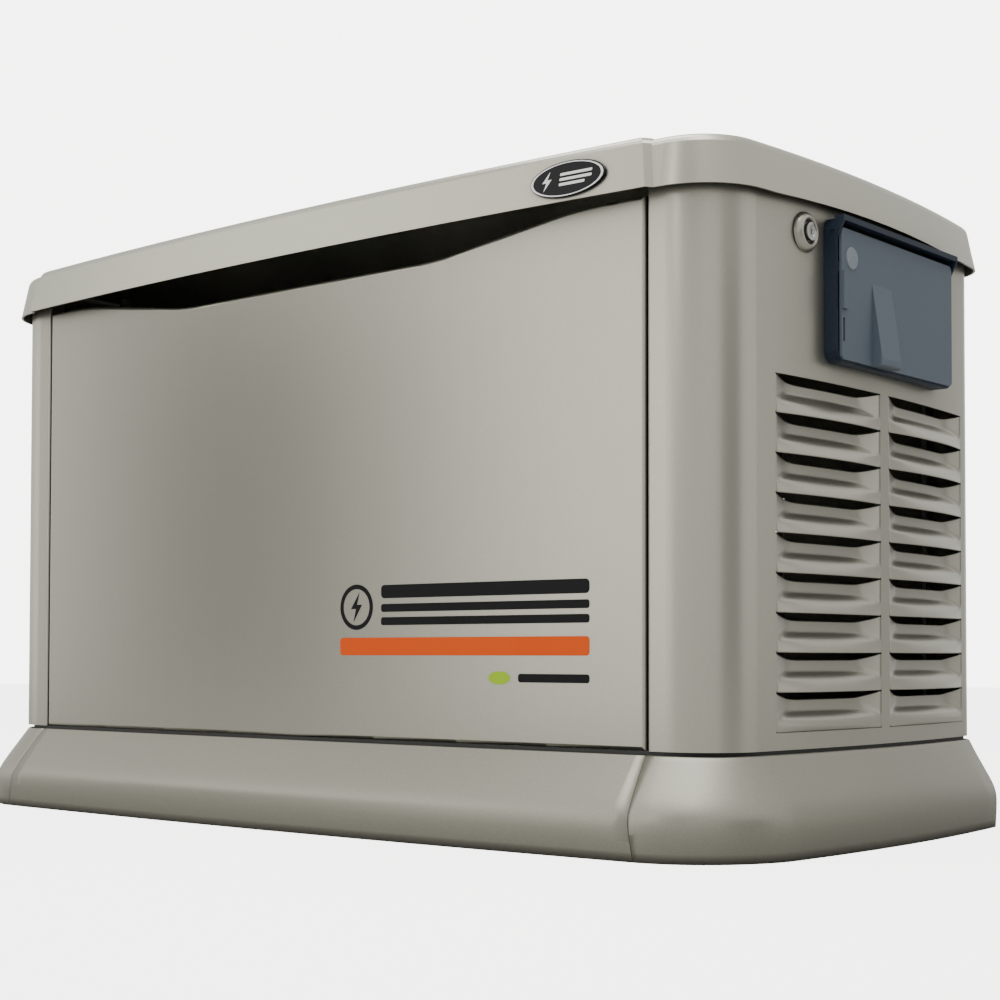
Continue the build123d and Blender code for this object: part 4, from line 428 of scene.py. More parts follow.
# %% Sheet, plated and machined metals
finish("galvanised", (0.52, 0.53, 0.54), (0.40, 0.41, 0.43), (0.30, 0.48), metal=0.95, drift=45.0, skin=160.0,
       depth=0.10, dust=0.25)
finish("zinc_steel", (0.60, 0.60, 0.57), (0.50, 0.50, 0.47), (0.22, 0.34), metal=1.0, drift=30.0, brushed=70.0,
       depth=0.08, dust=0.1)
finish("bright_steel", (0.66, 0.66, 0.66), (0.58, 0.58, 0.58), (0.12, 0.22), metal=1.0, drift=20.0, brushed=120.0,
       depth=0.06)
finish("lock_chrome", (0.78, 0.78, 0.77), (0.70, 0.70, 0.69), (0.06, 0.12), metal=1.0, drift=40.0, skin=500.0,
       depth=0.02)
finish("plug_steel", (0.56, 0.56, 0.55), (0.45, 0.45, 0.44), (0.22, 0.36), metal=1.0, drift=60.0, depth=0.1)
finish("forged_steel", (0.40, 0.39, 0.38), (0.30, 0.29, 0.28), (0.26, 0.42), metal=1.0, drift=25.0, brushed=50.0,
       depth=0.15)
finish("rotor_steel", (0.33, 0.32, 0.31), (0.22, 0.19, 0.17), (0.35, 0.5), metal=0.9, drift=35.0, brushed=160.0,
       depth=0.25)
finish("hot_steel", (0.42, 0.36, 0.30), (0.26, 0.22, 0.24), (0.32, 0.5), metal=0.95, drift=16.0, depth=0.15)
finish("aluminised_steel", (0.52, 0.52, 0.50), (0.40, 0.39, 0.37), (0.34, 0.5), metal=0.95, drift=9.0, skin=120.0,
       depth=0.15, dust=0.2)
finish("cast_aluminium", (0.56, 0.56, 0.55), (0.44, 0.44, 0.43), (0.42, 0.58), metal=0.85, drift=14.0, skin=260.0,
       depth=0.5, coarse=0.8, worn=0.5, bare=(0.72, 0.72, 0.71), dust=0.2)
finish("brass_body", (0.50, 0.49, 0.45), (0.40, 0.39, 0.35), (0.38, 0.52), metal=0.85, drift=24.0, skin=240.0,
       depth=0.4, worn=0.4, bare=(0.68, 0.67, 0.62))
finish("copper_winding", (0.46, 0.19, 0.075), (0.30, 0.11, 0.045), (0.22, 0.36), metal=0.75, drift=40.0,
       brushed=220.0, depth=0.5, coat=0.5)
print("metals", len(FINISHES))

# %% Paints, plastics and rubbers
finish("black_paint", (0.022, 0.022, 0.023), (0.034, 0.034, 0.034), (0.28, 0.40), drift=8.0, skin=300.0, depth=0.2,
       worn=0.35, dust=0.35)
finish("filter_paint", (0.78, 0.77, 0.73), (0.72, 0.71, 0.67), (0.16, 0.24), drift=10.0, depth=0.05, coat=0.3,
       dust=0.2)
finish("control_case", (0.035, 0.036, 0.038), (0.05, 0.05, 0.052), (0.42, 0.55), drift=9.0, skin=500.0, depth=0.5,
       worn=0.3, dust=0.25)
finish("control_panel", (0.060, 0.070, 0.080), (0.075, 0.085, 0.095), (0.32, 0.4), drift=9.0, skin=900.0,
       depth=0.12, dust=0.1)
finish("black_plastic", (0.026, 0.026, 0.028), (0.036, 0.036, 0.038), (0.40, 0.52), drift=10.0, skin=420.0,
       depth=0.35, dust=0.35)
finish("breaker_case", (0.030, 0.030, 0.031), (0.042, 0.042, 0.043), (0.34, 0.46), drift=14.0, skin=600.0,
       depth=0.25, dust=0.15)
finish("battery_case", (0.020, 0.020, 0.022), (0.032, 0.032, 0.034), (0.38, 0.5), drift=7.0, skin=500.0, depth=0.3,
       dust=0.45)
finish("toggle", (0.045, 0.045, 0.046), (0.055, 0.055, 0.056), (0.26, 0.34), drift=30.0, skin=700.0, depth=0.15)
finish("key_plastic", (0.52, 0.53, 0.53), (0.47, 0.48, 0.48), (0.26, 0.34), drift=40.0, skin=900.0, depth=0.1)
finish("cover_frame", (0.010, 0.018, 0.034), (0.014, 0.024, 0.042), (0.40, 0.50), drift=6.0, skin=700.0,
       depth=0.2, worn=0.05, bare=(0.06, 0.09, 0.13), shine=0.3)
finish("cover_plastic", (0.090, 0.115, 0.145), (0.104, 0.130, 0.160), (0.46, 0.56), drift=5.0, skin=700.0,
       depth=0.25, shine=0.35)
finish("lens", (0.20, 0.235, 0.27), (0.23, 0.265, 0.30), (0.25, 0.32), drift=20.0, skin=900.0, depth=0.03,
       shine=0.4)
finish("dipstick_yellow", (0.80, 0.52, 0.03), (0.72, 0.45, 0.02), (0.25, 0.34), drift=20.0, depth=0.1, dust=0.1)
finish("mount_rubber", (0.020, 0.020, 0.020), (0.036, 0.036, 0.035), (0.55, 0.75), drift=18.0, skin=300.0,
       depth=0.4, dust=0.4)
finish("cable", (0.018, 0.018, 0.019), (0.028, 0.028, 0.029), (0.36, 0.5), drift=25.0, skin=600.0, depth=0.2)
finish("hose_rubber", (0.022, 0.022, 0.022), (0.034, 0.034, 0.033), (0.5, 0.68), drift=22.0, skin=350.0, depth=0.4)
finish("badge", (0.006, 0.006, 0.007), (0.009, 0.009, 0.010), (0.20, 0.28), drift=20.0, skin=900.0, depth=0.02,
       shine=0.15)
print("finishes in all", len(FINISHES))

# %% Give every node of the frame its finish
for entry in frame["record"]["subparts"]:
    node = frame["nodes"][entry["node"]]
    for holder in node.material_slots:
        holder.material = FINISHES[entry["material_slot"]]
for node, name in (("cover_pin", "cover_frame"), ("breaker_bracket", "control_case")):
    for holder in frame["nodes"][node].material_slots:
        holder.material = FINISHES[name]

# %% [markdown]
# ## Base fascia
#
# The base is hidden by four moulded skirts that flare out to the pad. On the real cabinet the flare ends in a soft
# crease, and the corners are one smooth sweep, so the light slides round them. A tessellated solid shows that sweep
# as flat strips. Here a box gets its upright edges bevelled into the cabinet's plan, is sliced at many heights, and
# each slice is pushed out along the plan's own normals. One ring made that way is then cut at the four seams.

# %% Sizes of the base
BODY_HALF, BODY_FRONT, BODY_REAR = 0.584, -0.278, 0.287
BODY_MIDDLE = (BODY_REAR + BODY_FRONT) / 2
BODY_BOW_END, BODY_BOW_FRONT = 0.020, 0.009
CORNER_FRONT, CORNER_REAR = 0.070, 0.040
SKIRT_TOP, SKIRT_CREASE, SKIRT_LIP, SKIRT_WALL = 0.102, 0.043, 0.004, 0.003
FLARE_END, FLARE_FRONT, FLARE_REAR, FLARE_BOW, DRAFT = 0.043, 0.048, 0.056, 0.008, 0.003
SEAM_TOP, SEAM_BOTTOM, SEAM_REAR, SEAM_GAP = 0.502, 0.517, 0.530, 0.0008
SHELF, EDGE_ROUNDING, PLAN_STEP = 0.010, 0.0016, 0.07
SLICES = (0.010, 0.020, 0.028, 0.033, 0.037, 0.041, 0.045, 0.049, 0.054, 0.060, 0.068, 0.078, 0.088, 0.096)


def plan_normal(x, y):
    """The cabinet's outward plan direction at a point on its rounded rectangle."""
    corner = CORNER_FRONT if y < 0 else CORNER_REAR
    near_x = max(-BODY_HALF + corner, min(BODY_HALF - corner, x))
    near_y = max(BODY_FRONT + corner, min(BODY_REAR - corner, y))
    away = Vector((x - near_x, y - near_y))
    return away.normalized() if away.length > 1e-6 else Vector((0, 0))


def flare_share(height):
    """0 at the skirt's top and 1 below its crease, with the crease softened."""
    run = (SKIRT_TOP - height) / (SKIRT_TOP - SKIRT_CREASE)
    return run / (1 + run**9) ** (1 / 9)


# %% A rounded wall that follows the cabinet's plan
def cut_through(builder, point, normal):
    """Slices everything in a bmesh with a plane."""
    bmesh.ops.bisect_plane(builder, geom=list(builder.verts) + list(builder.edges) + list(builder.faces),
                           plane_co=point, plane_no=normal)


def rounded_wall(inset, middle, tall, segments, slices=()):
    """An open wall on the cabinet's plan, drawn in by inset, with rounded corners and regular cuts."""
    wall = bmesh.new()
    bmesh.ops.create_cube(wall, size=1.0)
    bmesh.ops.scale(wall, verts=wall.verts,
                    vec=(2 * BODY_HALF - 2 * inset, BODY_REAR - BODY_FRONT - 2 * inset, tall))
    bmesh.ops.translate(wall, verts=wall.verts, vec=(0, BODY_MIDDLE, middle))
    for front, radius in ((True, CORNER_FRONT), (False, CORNER_REAR)):
        upright = [edge for edge in wall.edges if abs(edge.verts[0].co.z - edge.verts[1].co.z) > tall / 2
                   and (edge.verts[0].co.y < 0) == front
                   and abs(edge.verts[0].co.x) > BODY_HALF - inset - 0.001]
        bmesh.ops.bevel(wall, geom=upright, offset=radius, offset_type="OFFSET", affect="EDGES", segments=segments,
                        profile=0.5, material=-1)
    bmesh.ops.delete(wall, geom=[face for face in wall.faces if abs(face.normal.z) > 0.9], context="FACES_ONLY")
    for height in slices:
        cut_through(wall, (0, 0, height), (0, 0, 1))
    for place in range(-7, 8):
        cut_through(wall, (place * PLAN_STEP, 0, 0), (1, 0, 0))
    for place in range(-2, 4):
        cut_through(wall, (0, place * PLAN_STEP, 0), (0, 1, 0))
    return wall


def bow_shares(vert):
    """How much of the end and front bows a point takes: 1 in the middle of a side, 0 at its ends."""
    along = 1 - (vert.co.x / BODY_HALF) ** 2
    across = 1 - ((vert.co.y - BODY_MIDDLE) / ((BODY_REAR - BODY_FRONT) / 2)) ** 2
    return max(0, along), max(0, across)


ring = rounded_wall(0, SKIRT_TOP / 2, SKIRT_TOP, 20, SLICES)
print("ring", len(ring.verts), "points")

# %% Flare it
for vert in ring.verts:
    share = flare_share(vert.co.z)
    lip = SKIRT_LIP * (1 - share) - DRAFT * max(0.0, 1 - vert.co.z / SKIRT_CREASE)
    out = plan_normal(vert.co.x, vert.co.y)
    deep = FLARE_FRONT if out.y < 0 else FLARE_REAR
    share *= 1 - (0.9 * abs(out.x * out.y) if out.y > 0 else 0)        # the rear corners are rounder
    along, across = bow_shares(vert)
    vert.co.x += out.x * (lip + FLARE_END * share + BODY_BOW_END * across)
    vert.co.y += out.y * (lip + deep * share)
    if out.y < 0:
        vert.co.y += out.y * (BODY_BOW_FRONT + FLARE_BOW * share) * along
top_edges = [edge for edge in ring.edges if edge.is_boundary and edge.verts[0].co.z > SKIRT_TOP - 0.001]
shelf = bmesh.ops.extrude_edge_only(ring, edges=top_edges)
for vert in (item for item in shelf["geom"] if isinstance(item, bmesh.types.BMVert)):
    inward = plan_normal(vert.co.x, vert.co.y)
    vert.co.x -= inward.x * SHELF
    vert.co.y -= inward.y * SHELF
rounding = [edge for edge in ring.edges if not edge.is_boundary and edge.calc_face_angle(0) > 0.9
            and min(vert.co.z for vert in edge.verts) > SKIRT_TOP - 0.001]
bmesh.ops.bevel(ring, geom=rounding, offset=EDGE_ROUNDING, offset_type="OFFSET", affect="EDGES", segments=3,
                profile=0.5, material=-1)
bmesh.ops.recalc_face_normals(ring, faces=ring.faces)
if sum(face.normal.dot(Vector((face.calc_center_median().x, face.calc_center_median().y, 0)))
       for face in ring.faces) < 0:
    bmesh.ops.reverse_faces(ring, faces=ring.faces)
print("flared ring", len(ring.faces), "faces")

# %% Cut it at the seams
def seam_x(height):
    """Half the length of the front skirt at a height; its seams slant."""
    return SEAM_BOTTOM + (SEAM_TOP - SEAM_BOTTOM) * height / SKIRT_TOP


slant = Vector((SKIRT_TOP, 0, SEAM_BOTTOM - SEAM_TOP))
for side in (-1, 1):
    normal = Vector((side * slant.x, 0, slant.z))
    for step, seam in ((0, SEAM_TOP), (SEAM_GAP, SEAM_TOP), (0, SEAM_REAR), (SEAM_GAP, SEAM_REAR)):
        facing = normal if seam == SEAM_TOP else Vector((1, 0, 0))
        cut_through(ring, (side * (seam + step), 0, SKIRT_TOP), facing)


def skirt(name, belongs):
    """One skirt: a copy of the ring that keeps only the faces whose middle belongs to it."""
    part = ring.copy()
    strangers = [face for face in part.faces if not belongs(face.calc_center_median())]
    bmesh.ops.delete(part, geom=strangers, context="FACES")
    for face in part.faces:
        face.smooth = True
    piece = mesh_object("skirt_" + name, part, FINISHES["fascia_paint"])
    wall = piece.modifiers.new("wall", "SOLIDIFY")
    wall.thickness, wall.offset = SKIRT_WALL - 0.0004, -1
    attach(piece, "enclosure")
    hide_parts("fascia_" + name)
    print(piece.name, len(piece.data.polygons), "faces")


skirt("front", lambda c: c.y < 0 and abs(c.x) < seam_x(c.z))
skirt("rear", lambda c: c.y > 0 and abs(c.x) < SEAM_REAR)
for side, name in ((1, "right"), (-1, "left")):
    skirt(name, lambda c: c.x * side > (seam_x(c.z) + SEAM_GAP if c.y < 0 else SEAM_REAR + SEAM_GAP))
ring.free()

# %% [markdown]
# The gap between the skirts and the cabinet is filled by a black rubber strip: painted shade that stands for the
# shadow in that gap. It is the same rounded box, inset a little from the panels, with only its wall kept.

# %% Painted shade: a dark strip above the skirts
SHADE_STRIP_INSET, SHADE_STRIP_HEIGHT, SHADE_STRIP_RISE, SHADE_STRIP_THICK = 0.002, 0.0058, 0.001, 0.004
shade_band = rounded_wall(SHADE_STRIP_INSET, SKIRT_TOP + SHADE_STRIP_RISE, SHADE_STRIP_HEIGHT, 12)
for vert in shade_band.verts:
    out = plan_normal(vert.co.x, vert.co.y)
    along, across = bow_shares(vert)
    vert.co.x += BODY_BOW_END * across * out.x
    vert.co.y += min(0, out.y) * BODY_BOW_FRONT * along
shade_strip = mesh_object("base_shade_strip", shade_band, FINISHES["mount_rubber"])
thick = shade_strip.modifiers.new("wall", "SOLIDIFY")
thick.thickness, thick.offset = SHADE_STRIP_THICK, -1
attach(shade_strip, "enclosure")
print("shade_band", len(shade_strip.data.polygons), "faces")

# %% [markdown]
# ## Pressed louvres
#
# The louvres are pressed, not folded: a slit is cut, and a punch stretches the metal below it inwards and the metal
# above it outwards, so each blade has a sunk back, a soft groove, a rolled lip and a flat triangle at each end. A
# plain loft gives straight facets. Here each blade is a grid whose points are pushed in or out by the punch's own
# shape, then smoothed by a subdivision surface. The flat sheet round them is the frame's own panel, copied, with its
# plain blades taken out.

# %% Where the blades are
LOUVRE_TOP, LOUVRE_PITCH, LOUVRE_ROWS = 0.490, 0.0407, 9
LOUVRE_COLUMNS = ((-0.187, 0.016), (0.035, 0.240))
REAR_COLUMNS, REAR_ROWS = ((-0.330, -0.127), (-0.108, 0.095), (0.114, 0.317)), 6
PUNCH = ((0, -9.4), (8, -9.4), (16, -8.8), (19.5, -7.8), (25, -2.2), (29, 0.8), (33, 3.0), (37, 4.8), (40.7, 6.2))
LAST_PUNCH = PUNCH[:-3] + ((34, 2.6), (37, 2.0), (40.7, 0))
FACET, FADE, FACET_DEPTH = 46.0, 90.0, 14.0         # millimetres, measured in from each end of a blade
SLIT_NARROW, SLIT_WIDE, BLADE_LOW = 0.4, 7.0, 40.4  # millimetres down from the top of a blade
SHEET_THICK = 0.0011


def end_face(y):
    """The bowed end face at a given Y, in metres."""
    half = (BODY_REAR - BODY_FRONT) / 2
    radius = (half**2 + BODY_BOW_END**2) / (2 * BODY_BOW_END)
    return BODY_HALF + BODY_BOW_END - radius + math.sqrt(radius**2 - (y - BODY_MIDDLE) ** 2)


def punched(profile, depth, end_distance):
    """How far the sheet is pushed out (or, below zero, in), all in millimetres."""
    for (t0, p0), (t1, p1) in zip(profile, profile[1:]):
        if depth <= t1:
            break
    mix = (depth - t0) / (t1 - t0)
    push = p0 + (p1 - p0) * mix
    if push > 0:
        push *= 1 - (1 - min(1.0, end_distance / FADE)) ** 2.4
    return max(push, -FACET_DEPTH * end_distance / FACET)


# %% One blade as a pushed grid
def blade(column, row, rows, place, across=30, down=14):
    """A blade; place turns its way along, its push and its height into a point of the panel."""
    builder = bmesh.new()
    bmesh.ops.create_grid(builder, x_segments=across, y_segments=down, size=0.5)
    start, end = column
    top = LOUVRE_TOP - row * LOUVRE_PITCH
    profile = LAST_PUNCH if row == rows - 1 else PUNCH
    for vert in builder.verts:
        along = start + (vert.co.x + 0.5) * (end - start)
        distance = min(along - start, end - along) * 1000
        slit = SLIT_NARROW + SLIT_WIDE * (1 - (1 - min(1.0, distance / FACET)) ** 1.5)
        depth = slit + (0.5 - vert.co.y) * (BLADE_LOW - slit)
        vert.co = place(along, punched(profile, depth, distance) / 1000, top - depth / 1000)
    return builder


def blade_field(name, columns, rows, place, outward):
    """All the blades of one panel, as one piece of smoothed sheet."""
    field = bmesh.new()
    for column in columns:
        for row in range(rows):
            single = blade(column, row, rows, place)
            carrier = bpy.data.meshes.new("carrier")
            single.to_mesh(carrier)
            single.free()
            field.from_mesh(carrier)
            bpy.data.meshes.remove(carrier)
    bmesh.ops.recalc_face_normals(field, faces=field.faces)
    if sum(face.normal.dot(outward) for face in field.faces) < 0:
        bmesh.ops.reverse_faces(field, faces=field.faces)
    for face in field.faces:
        face.smooth = True
    piece = mesh_object(name, field, FINISHES["enclosure_paint"])
    soft = piece.modifiers.new("soft", "SUBSURF")
    soft.levels = soft.render_levels = 1
    metal = piece.modifiers.new("sheet", "SOLIDIFY")
    metal.thickness, metal.offset = SHEET_THICK, -1
    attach(piece, "enclosure")
    print(name, len(piece.data.polygons), "faces before smoothing")


blade_field("end_louvres", LOUVRE_COLUMNS, LOUVRE_ROWS, lambda y, push, z: (end_face(y) + push, y, z),
            Vector((1, 0, 0)))
blade_field("rear_louvres", REAR_COLUMNS, REAR_ROWS, lambda x, push, z: (x, BODY_REAR + push, z),
            Vector((0, 1, 0)))

# %% The panel round the blades
def keep_shading(mesh, original):
    """Gives a merged mesh the corner normals of the loose mesh that it was made from."""
    corners = KDTree(len(original.loops))
    for loop in original.loops:
        corners.insert(original.vertices[loop.vertex_index].co, loop.index)
    corners.balance()
    normals = [tuple(item.vector) for item in original.corner_normals]
    kept = []
    for face in mesh.polygons:
        for vertex in face.vertices:
            near = [normals[index] for _, index, _ in corners.find_range(mesh.vertices[vertex].co, 0.00004)]
            kept.append(max(near, key=face.normal.dot) if near else tuple(face.normal))
    mesh.normals_split_custom_set(kept)


def without_blades(name, node, spans, axis, low, high):
    """A merged copy of a panel node, without the faces that lie wholly in its louvre fields."""
    copy = bmesh.new()
    copy.from_mesh(frame["nodes"][node].data)
    bmesh.ops.remove_doubles(copy, verts=copy.verts, dist=0.00002)
    slack = 0.0012
    gone = []
    for face in copy.faces:
        for start, end in spans:
            if all(start - slack <= vert.co[axis] <= end + slack and low - slack <= vert.co.z <= high + 0.0001
                   for vert in face.verts):
                gone.append(face)
                break
    bmesh.ops.delete(copy, geom=gone, context="FACES")
    for face in copy.faces:
        face.smooth = True
    piece = mesh_object(name, copy, FINISHES["enclosure_paint"])
    keep_shading(piece.data, frame["nodes"][node].data)
    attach(piece, "enclosure")
    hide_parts(node)
    print(name, "lost", len(gone), "faces and kept", len(piece.data.polygons))
    return piece


without_blades("end_sheet", "right_end_panel", LOUVRE_COLUMNS, 1, LOUVRE_TOP - LOUVRE_ROWS * LOUVRE_PITCH,
               LOUVRE_TOP)
without_blades("rear_sheet", "rear_panel", REAR_COLUMNS, 0, LOUVRE_TOP - REAR_ROWS * LOUVRE_PITCH, LOUVRE_TOP)

# %% [markdown]
# ## Lock dimples
#
# Each lock sits in a dimple: a raised ring pressed into the panel, with the chrome barrel sunk in a dark hole. The
# ring is one profile spun round the lock's axis.

# %% Ring and gasket round each lock
LOCK = Vector((0.0, -0.135, 0.642))
LOCK_FACE = end_face(LOCK.y) + 0.0015


def spun(name, profile, side, material, body):
    """Spins (outward, radius) points round the lock's axis on one side of the cabinet."""
    builder = bmesh.new()
    points = [builder.verts.new((LOCK_FACE + out, LOCK.y, LOCK.z + radius)) for out, radius in profile]
    edges = [builder.edges.new(pair) for pair in zip(points, points[1:])]
    bmesh.ops.spin(builder, geom=points + edges, cent=(LOCK_FACE, LOCK.y, LOCK.z), axis=(1, 0, 0),
                   angle=math.tau, steps=48, use_merge=True)
    bmesh.ops.remove_doubles(builder, verts=builder.verts, dist=0.00001)
    if side < 0:
        bmesh.ops.scale(builder, verts=builder.verts, vec=(-1, 1, 1))
    bmesh.ops.recalc_face_normals(builder, faces=builder.faces)
    if sum(face.normal.x * face.calc_area() for face in builder.faces) * side < 0:
        bmesh.ops.reverse_faces(builder, faces=builder.faces)
    for face in builder.faces:
        face.smooth = True
    piece = mesh_object(name, builder, material)
    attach(piece, body)
    return piece


DIMPLE = ((-0.0020, 0.0215), (0.0006, 0.0208), (0.0030, 0.0192), (0.0050, 0.0170), (0.0057, 0.0148),
          (0.0050, 0.0132), (0.0030, 0.0124), (-0.0010, 0.0122))
GASKET = ((0.0022, 0.0122), (0.0024, 0.0116), (0.0024, 0.0100), (0.0022, 0.0097))
for side, name in ((1, "right"), (-1, "left")):
    spun("lock_dimple_" + name, DIMPLE, side, FINISHES["enclosure_paint"], "enclosure")
    spun("lock_gasket_" + name, GASKET, side, FINISHES["mount_rubber"], "enclosure")
print("lock face at", round(LOCK_FACE, 4))

# %% [markdown]
# ## Graphics
#
# A cabinet like this carries a large printed graphic low on its front panel. These are plain shapes of this
# lesson's own: a roundel with a bolt, a stack of bars, an orange bar and a green leaf. Each is a thin film. It is cut
# flat, divided so that it can bend, and then every point is dropped onto the panel behind it, as a decal is.

# %% Film materials
finish("film_black", (0.006, 0.006, 0.007), (0.009, 0.009, 0.010), (0.34, 0.42), drift=8.0, skin=1200.0,
       depth=0.03, shine=0.12)
finish("film_orange", (0.78, 0.095, 0.004), (0.72, 0.080, 0.004), (0.36, 0.44), drift=8.0, skin=1200.0,
       depth=0.03, shine=0.1)
finish("film_green", (0.36, 0.58, 0.02), (0.32, 0.53, 0.02), (0.36, 0.44), drift=8.0, skin=1200.0, depth=0.03,
       shine=0.1)
finish("film_silver", (0.62, 0.62, 0.61), (0.56, 0.56, 0.55), (0.18, 0.26), metal=0.9, drift=20.0, skin=1200.0,
       depth=0.03)
print("films", [name for name in FINISHES if name.startswith("film")])

# %% Cutting the shapes, flat, in metres
def film_bar(width, height, radius):
    """A bar with rounded corners."""
    shape = bmesh.new()
    bmesh.ops.create_grid(shape, x_segments=1, y_segments=1, size=0.5)
    bmesh.ops.scale(shape, verts=shape.verts, vec=(width, height, 1))
    bmesh.ops.bevel(shape, geom=list(shape.verts), offset=radius, offset_type="OFFSET", affect="VERTICES",
                    segments=6, profile=0.5, material=-1)
    return shape


def film_ring(width, height, share):
    """An elliptical ring; share is its inner size against its outer."""
    shape = bmesh.new()
    bmesh.ops.create_circle(shape, cap_ends=False, segments=64, radius=0.5)
    inner = bmesh.ops.extrude_edge_only(shape, edges=list(shape.edges))
    bmesh.ops.scale(shape, verts=[v for v in inner["geom"] if isinstance(v, bmesh.types.BMVert)],
                    vec=(share, share, 1))
    bmesh.ops.scale(shape, verts=shape.verts, vec=(width, height, 1))
    return shape


def film_disc(width, height):
    """A filled ellipse."""
    shape = bmesh.new()
    bmesh.ops.create_circle(shape, cap_ends=True, segments=64, radius=0.5)
    bmesh.ops.scale(shape, verts=shape.verts, vec=(width, height, 1))
    return shape


def film_bolt(size):
    """A plain lightning bolt, six points round one face."""
    shape = bmesh.new()
    points = ((0.14, 0.5), (-0.26, -0.06), (-0.02, -0.06), (-0.14, -0.5), (0.26, 0.08), (0.02, 0.08))
    shape.faces.new([shape.verts.new((x * size, z * size, 0)) for x, z in points])
    return shape


# %% Dropping a film onto a node
FILM_THICK, FILM_STEP = 0.00018, 0.012


def drape(name, shape, node, centre, facing, material, body, stand=0.00025):
    """Stands a flat shape up to face -Y at centre (x, z) and lays it on the node's surface."""
    target = bmesh.new()
    target.from_mesh(frame["nodes"][node].data)
    surface = BVHTree.FromBMesh(target)
    target.free()
    bmesh.ops.rotate(shape, verts=shape.verts, matrix=Matrix.Rotation(math.pi / 2, 3, "X"))
    bmesh.ops.translate(shape, verts=shape.verts, vec=(centre[0], facing, centre[1]))
    low, high = min(v.co.x for v in shape.verts), max(v.co.x for v in shape.verts)
    for step in range(1, int((high - low) / FILM_STEP)):
        cut_through(shape, (low + step * FILM_STEP, 0, 0), (1, 0, 0))
    for vert in shape.verts:
        hit = surface.ray_cast(vert.co, Vector((0, 1, 0)), 0.2)
        if hit[0] is not None:
            vert.co.y = hit[0].y - stand
    bmesh.ops.recalc_face_normals(shape, faces=shape.faces)
    if sum(face.normal.y * face.calc_area() for face in shape.faces) > 0:
        bmesh.ops.reverse_faces(shape, faces=shape.faces)
    piece = mesh_object(name, shape, material)
    film = piece.modifiers.new("film", "SOLIDIFY")
    film.thickness, film.offset = FILM_THICK, -1
    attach(piece, body)
    return piece


# %% The front graphic
FRONT = -0.34
graphic = [
    drape("graphic_roundel", film_ring(0.052, 0.052, 0.80), "front_panel", (0.097, 0.257), FRONT,
          FINISHES["film_black"], "front_panel"),
    drape("graphic_bolt", film_bolt(0.034), "front_panel", (0.097, 0.257), FRONT, FINISHES["film_black"],
          "front_panel"),
    drape("graphic_orange", film_bar(0.359, 0.020, 0.004), "front_panel", (0.2505, 0.212), FRONT,
          FINISHES["film_orange"], "front_panel"),
    drape("graphic_leaf", film_disc(0.030, 0.014), "front_panel", (0.310, 0.178), FRONT, FINISHES["film_green"],
          "front_panel"),
    drape("graphic_underline", film_bar(0.094, 0.009, 0.003), "front_panel", (0.383, 0.178), FRONT,
          FINISHES["film_black"], "front_panel"),
]
for row, (height, thick) in enumerate(((0.274, 0.015), (0.2555, 0.009), (0.2405, 0.009))):
    graphic.append(drape(f"graphic_bar_{row}", film_bar(0.294, thick, thick * 0.32), "front_panel",
                         (0.283, height), FRONT, FINISHES["film_black"], "front_panel"))
print("graphic pieces", len(graphic))

# %% The badge on the lid
badge = [
    drape("badge_rim", film_ring(0.0905, 0.0370, 0.94), "lid_badge", (0.420, 0.693), FRONT - 0.02,
          FINISHES["film_silver"], "lid"),
    drape("badge_bolt", film_bolt(0.022), "lid_badge", (0.395, 0.693), FRONT - 0.02, FINISHES["film_silver"], "lid"),
]
for row, (height, long) in enumerate(((0.6985, 0.040), (0.6930, 0.040), (0.6875, 0.032))):
    badge.append(drape(f"badge_bar_{row}", film_bar(long, 0.0030, 0.001), "lid_badge", (0.411 + long / 2, height),
                       FRONT - 0.02, FINISHES["film_silver"], "lid"))
print("badge pieces", len(badge))

# %% [markdown]
# ## Details behind the panels
#
# With the lid up and the front panel off, the engine bay is on show. The frame gives the castings their true size;
# what it lacks is the small trade detail: filler caps on the battery, a knob on the air cleaner, a display and its
# marks on the control face, and a coloured ring on each key. Round parts are one profile spun round an axis.

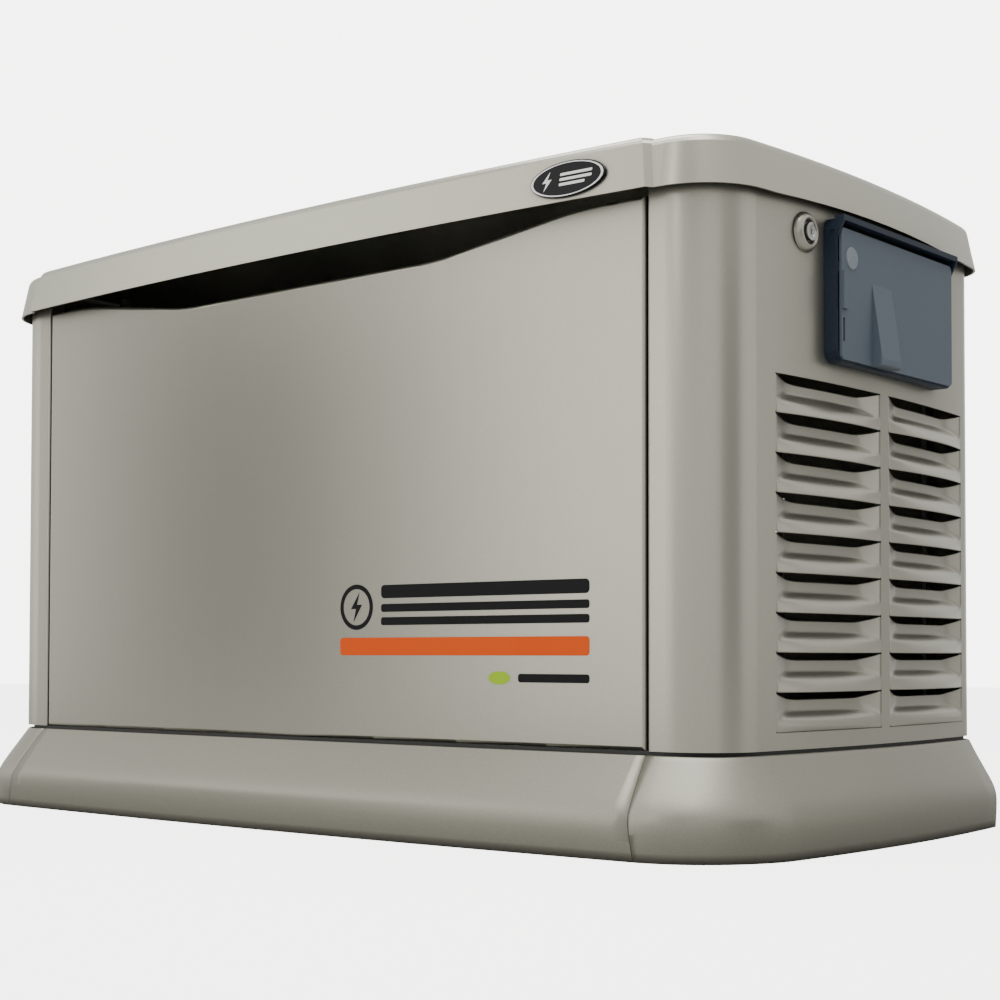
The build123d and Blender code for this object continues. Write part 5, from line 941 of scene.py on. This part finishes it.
# %% A part spun round a standing axis
def turned(name, profile, centre, material, body, steps=32):
    """Spins (height, radius) points round a standing axis through centre."""
    builder = bmesh.new()
    points = [builder.verts.new((radius, 0, height)) for height, radius in profile]
    edges = [builder.edges.new(pair) for pair in zip(points, points[1:])]
    bmesh.ops.spin(builder, geom=points + edges, cent=(0, 0, 0), axis=(0, 0, 1), angle=math.tau, steps=steps,
                   use_merge=True)
    bmesh.ops.remove_doubles(builder, verts=builder.verts, dist=0.00002)
    bmesh.ops.recalc_face_normals(builder, faces=builder.faces)
    bmesh.ops.translate(builder, verts=builder.verts, vec=centre)
    for face in builder.faces:
        face.smooth = True
    piece = mesh_object(name, builder, material)
    piece.data.set_sharp_from_angle(angle=math.radians(35))
    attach(piece, body)
    return piece


# %% Battery caps and the air cleaner's knob
CAP = ((-0.0005, 0.0), (-0.0005, 0.0095), (0.0024, 0.0095), (0.0032, 0.0087), (0.0032, 0.0030), (0.0024, 0.0022),
       (0.0024, 0.0))
KNOB = ((-0.0005, 0.0), (-0.0005, 0.0160), (0.0015, 0.0160), (0.0030, 0.0130), (0.0040, 0.0100), (0.0140, 0.0090),
        (0.0155, 0.0080), (0.0160, 0.0060), (0.0160, 0.0))
CASE_HEIGHT, FIRST_CAP, CAP_PITCH, CAP_ROW = 0.185, 0.3695, 0.0265, -0.1595
case_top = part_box("battery")[0].z + CASE_HEIGHT
for cell in range(6):
    turned(f"battery_cap_{cell}", CAP, (FIRST_CAP + cell * CAP_PITCH, CAP_ROW, case_top), FINISHES["film_black"],
           "enclosure")
cleaner_low, cleaner_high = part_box("air_cleaner")
cleaner_middle = (cleaner_low + cleaner_high) / 2
turned("cleaner_knob", KNOB, (cleaner_middle.x, cleaner_middle.y, cleaner_high.z), FINISHES["film_black"],
       "enclosure")
print("caps at height", round(case_top, 3), "knob at", [round(value, 3) for value in cleaner_middle])

# %% Display, marks and key rings
drape("control_display", film_bar(0.078, 0.019, 0.002), "control_face", (0.4155, 0.609), FRONT,
      FINISHES["film_black"], "enclosure")
for row, long in enumerate((0.052, 0.036)):
    drape(f"control_line_{row}", film_bar(long, 0.0022, 0.0008), "control_face",
          (0.3835 + long / 2, 0.6125 - row * 0.006), FRONT, FINISHES["film_green"], "enclosure", stand=0.0006)
for key, film in (("key_off", "film_silver"), ("key_manual", "film_orange"), ("key_auto", "film_green")):
    key_low, key_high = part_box(key)
    drape(key + "_ring", film_ring(0.0125, 0.0108, 0.72), key,
          ((key_low.x + key_high.x) / 2, (key_low.z + key_high.z) / 2), FRONT, FINISHES[film], key)
print("control face dressed")
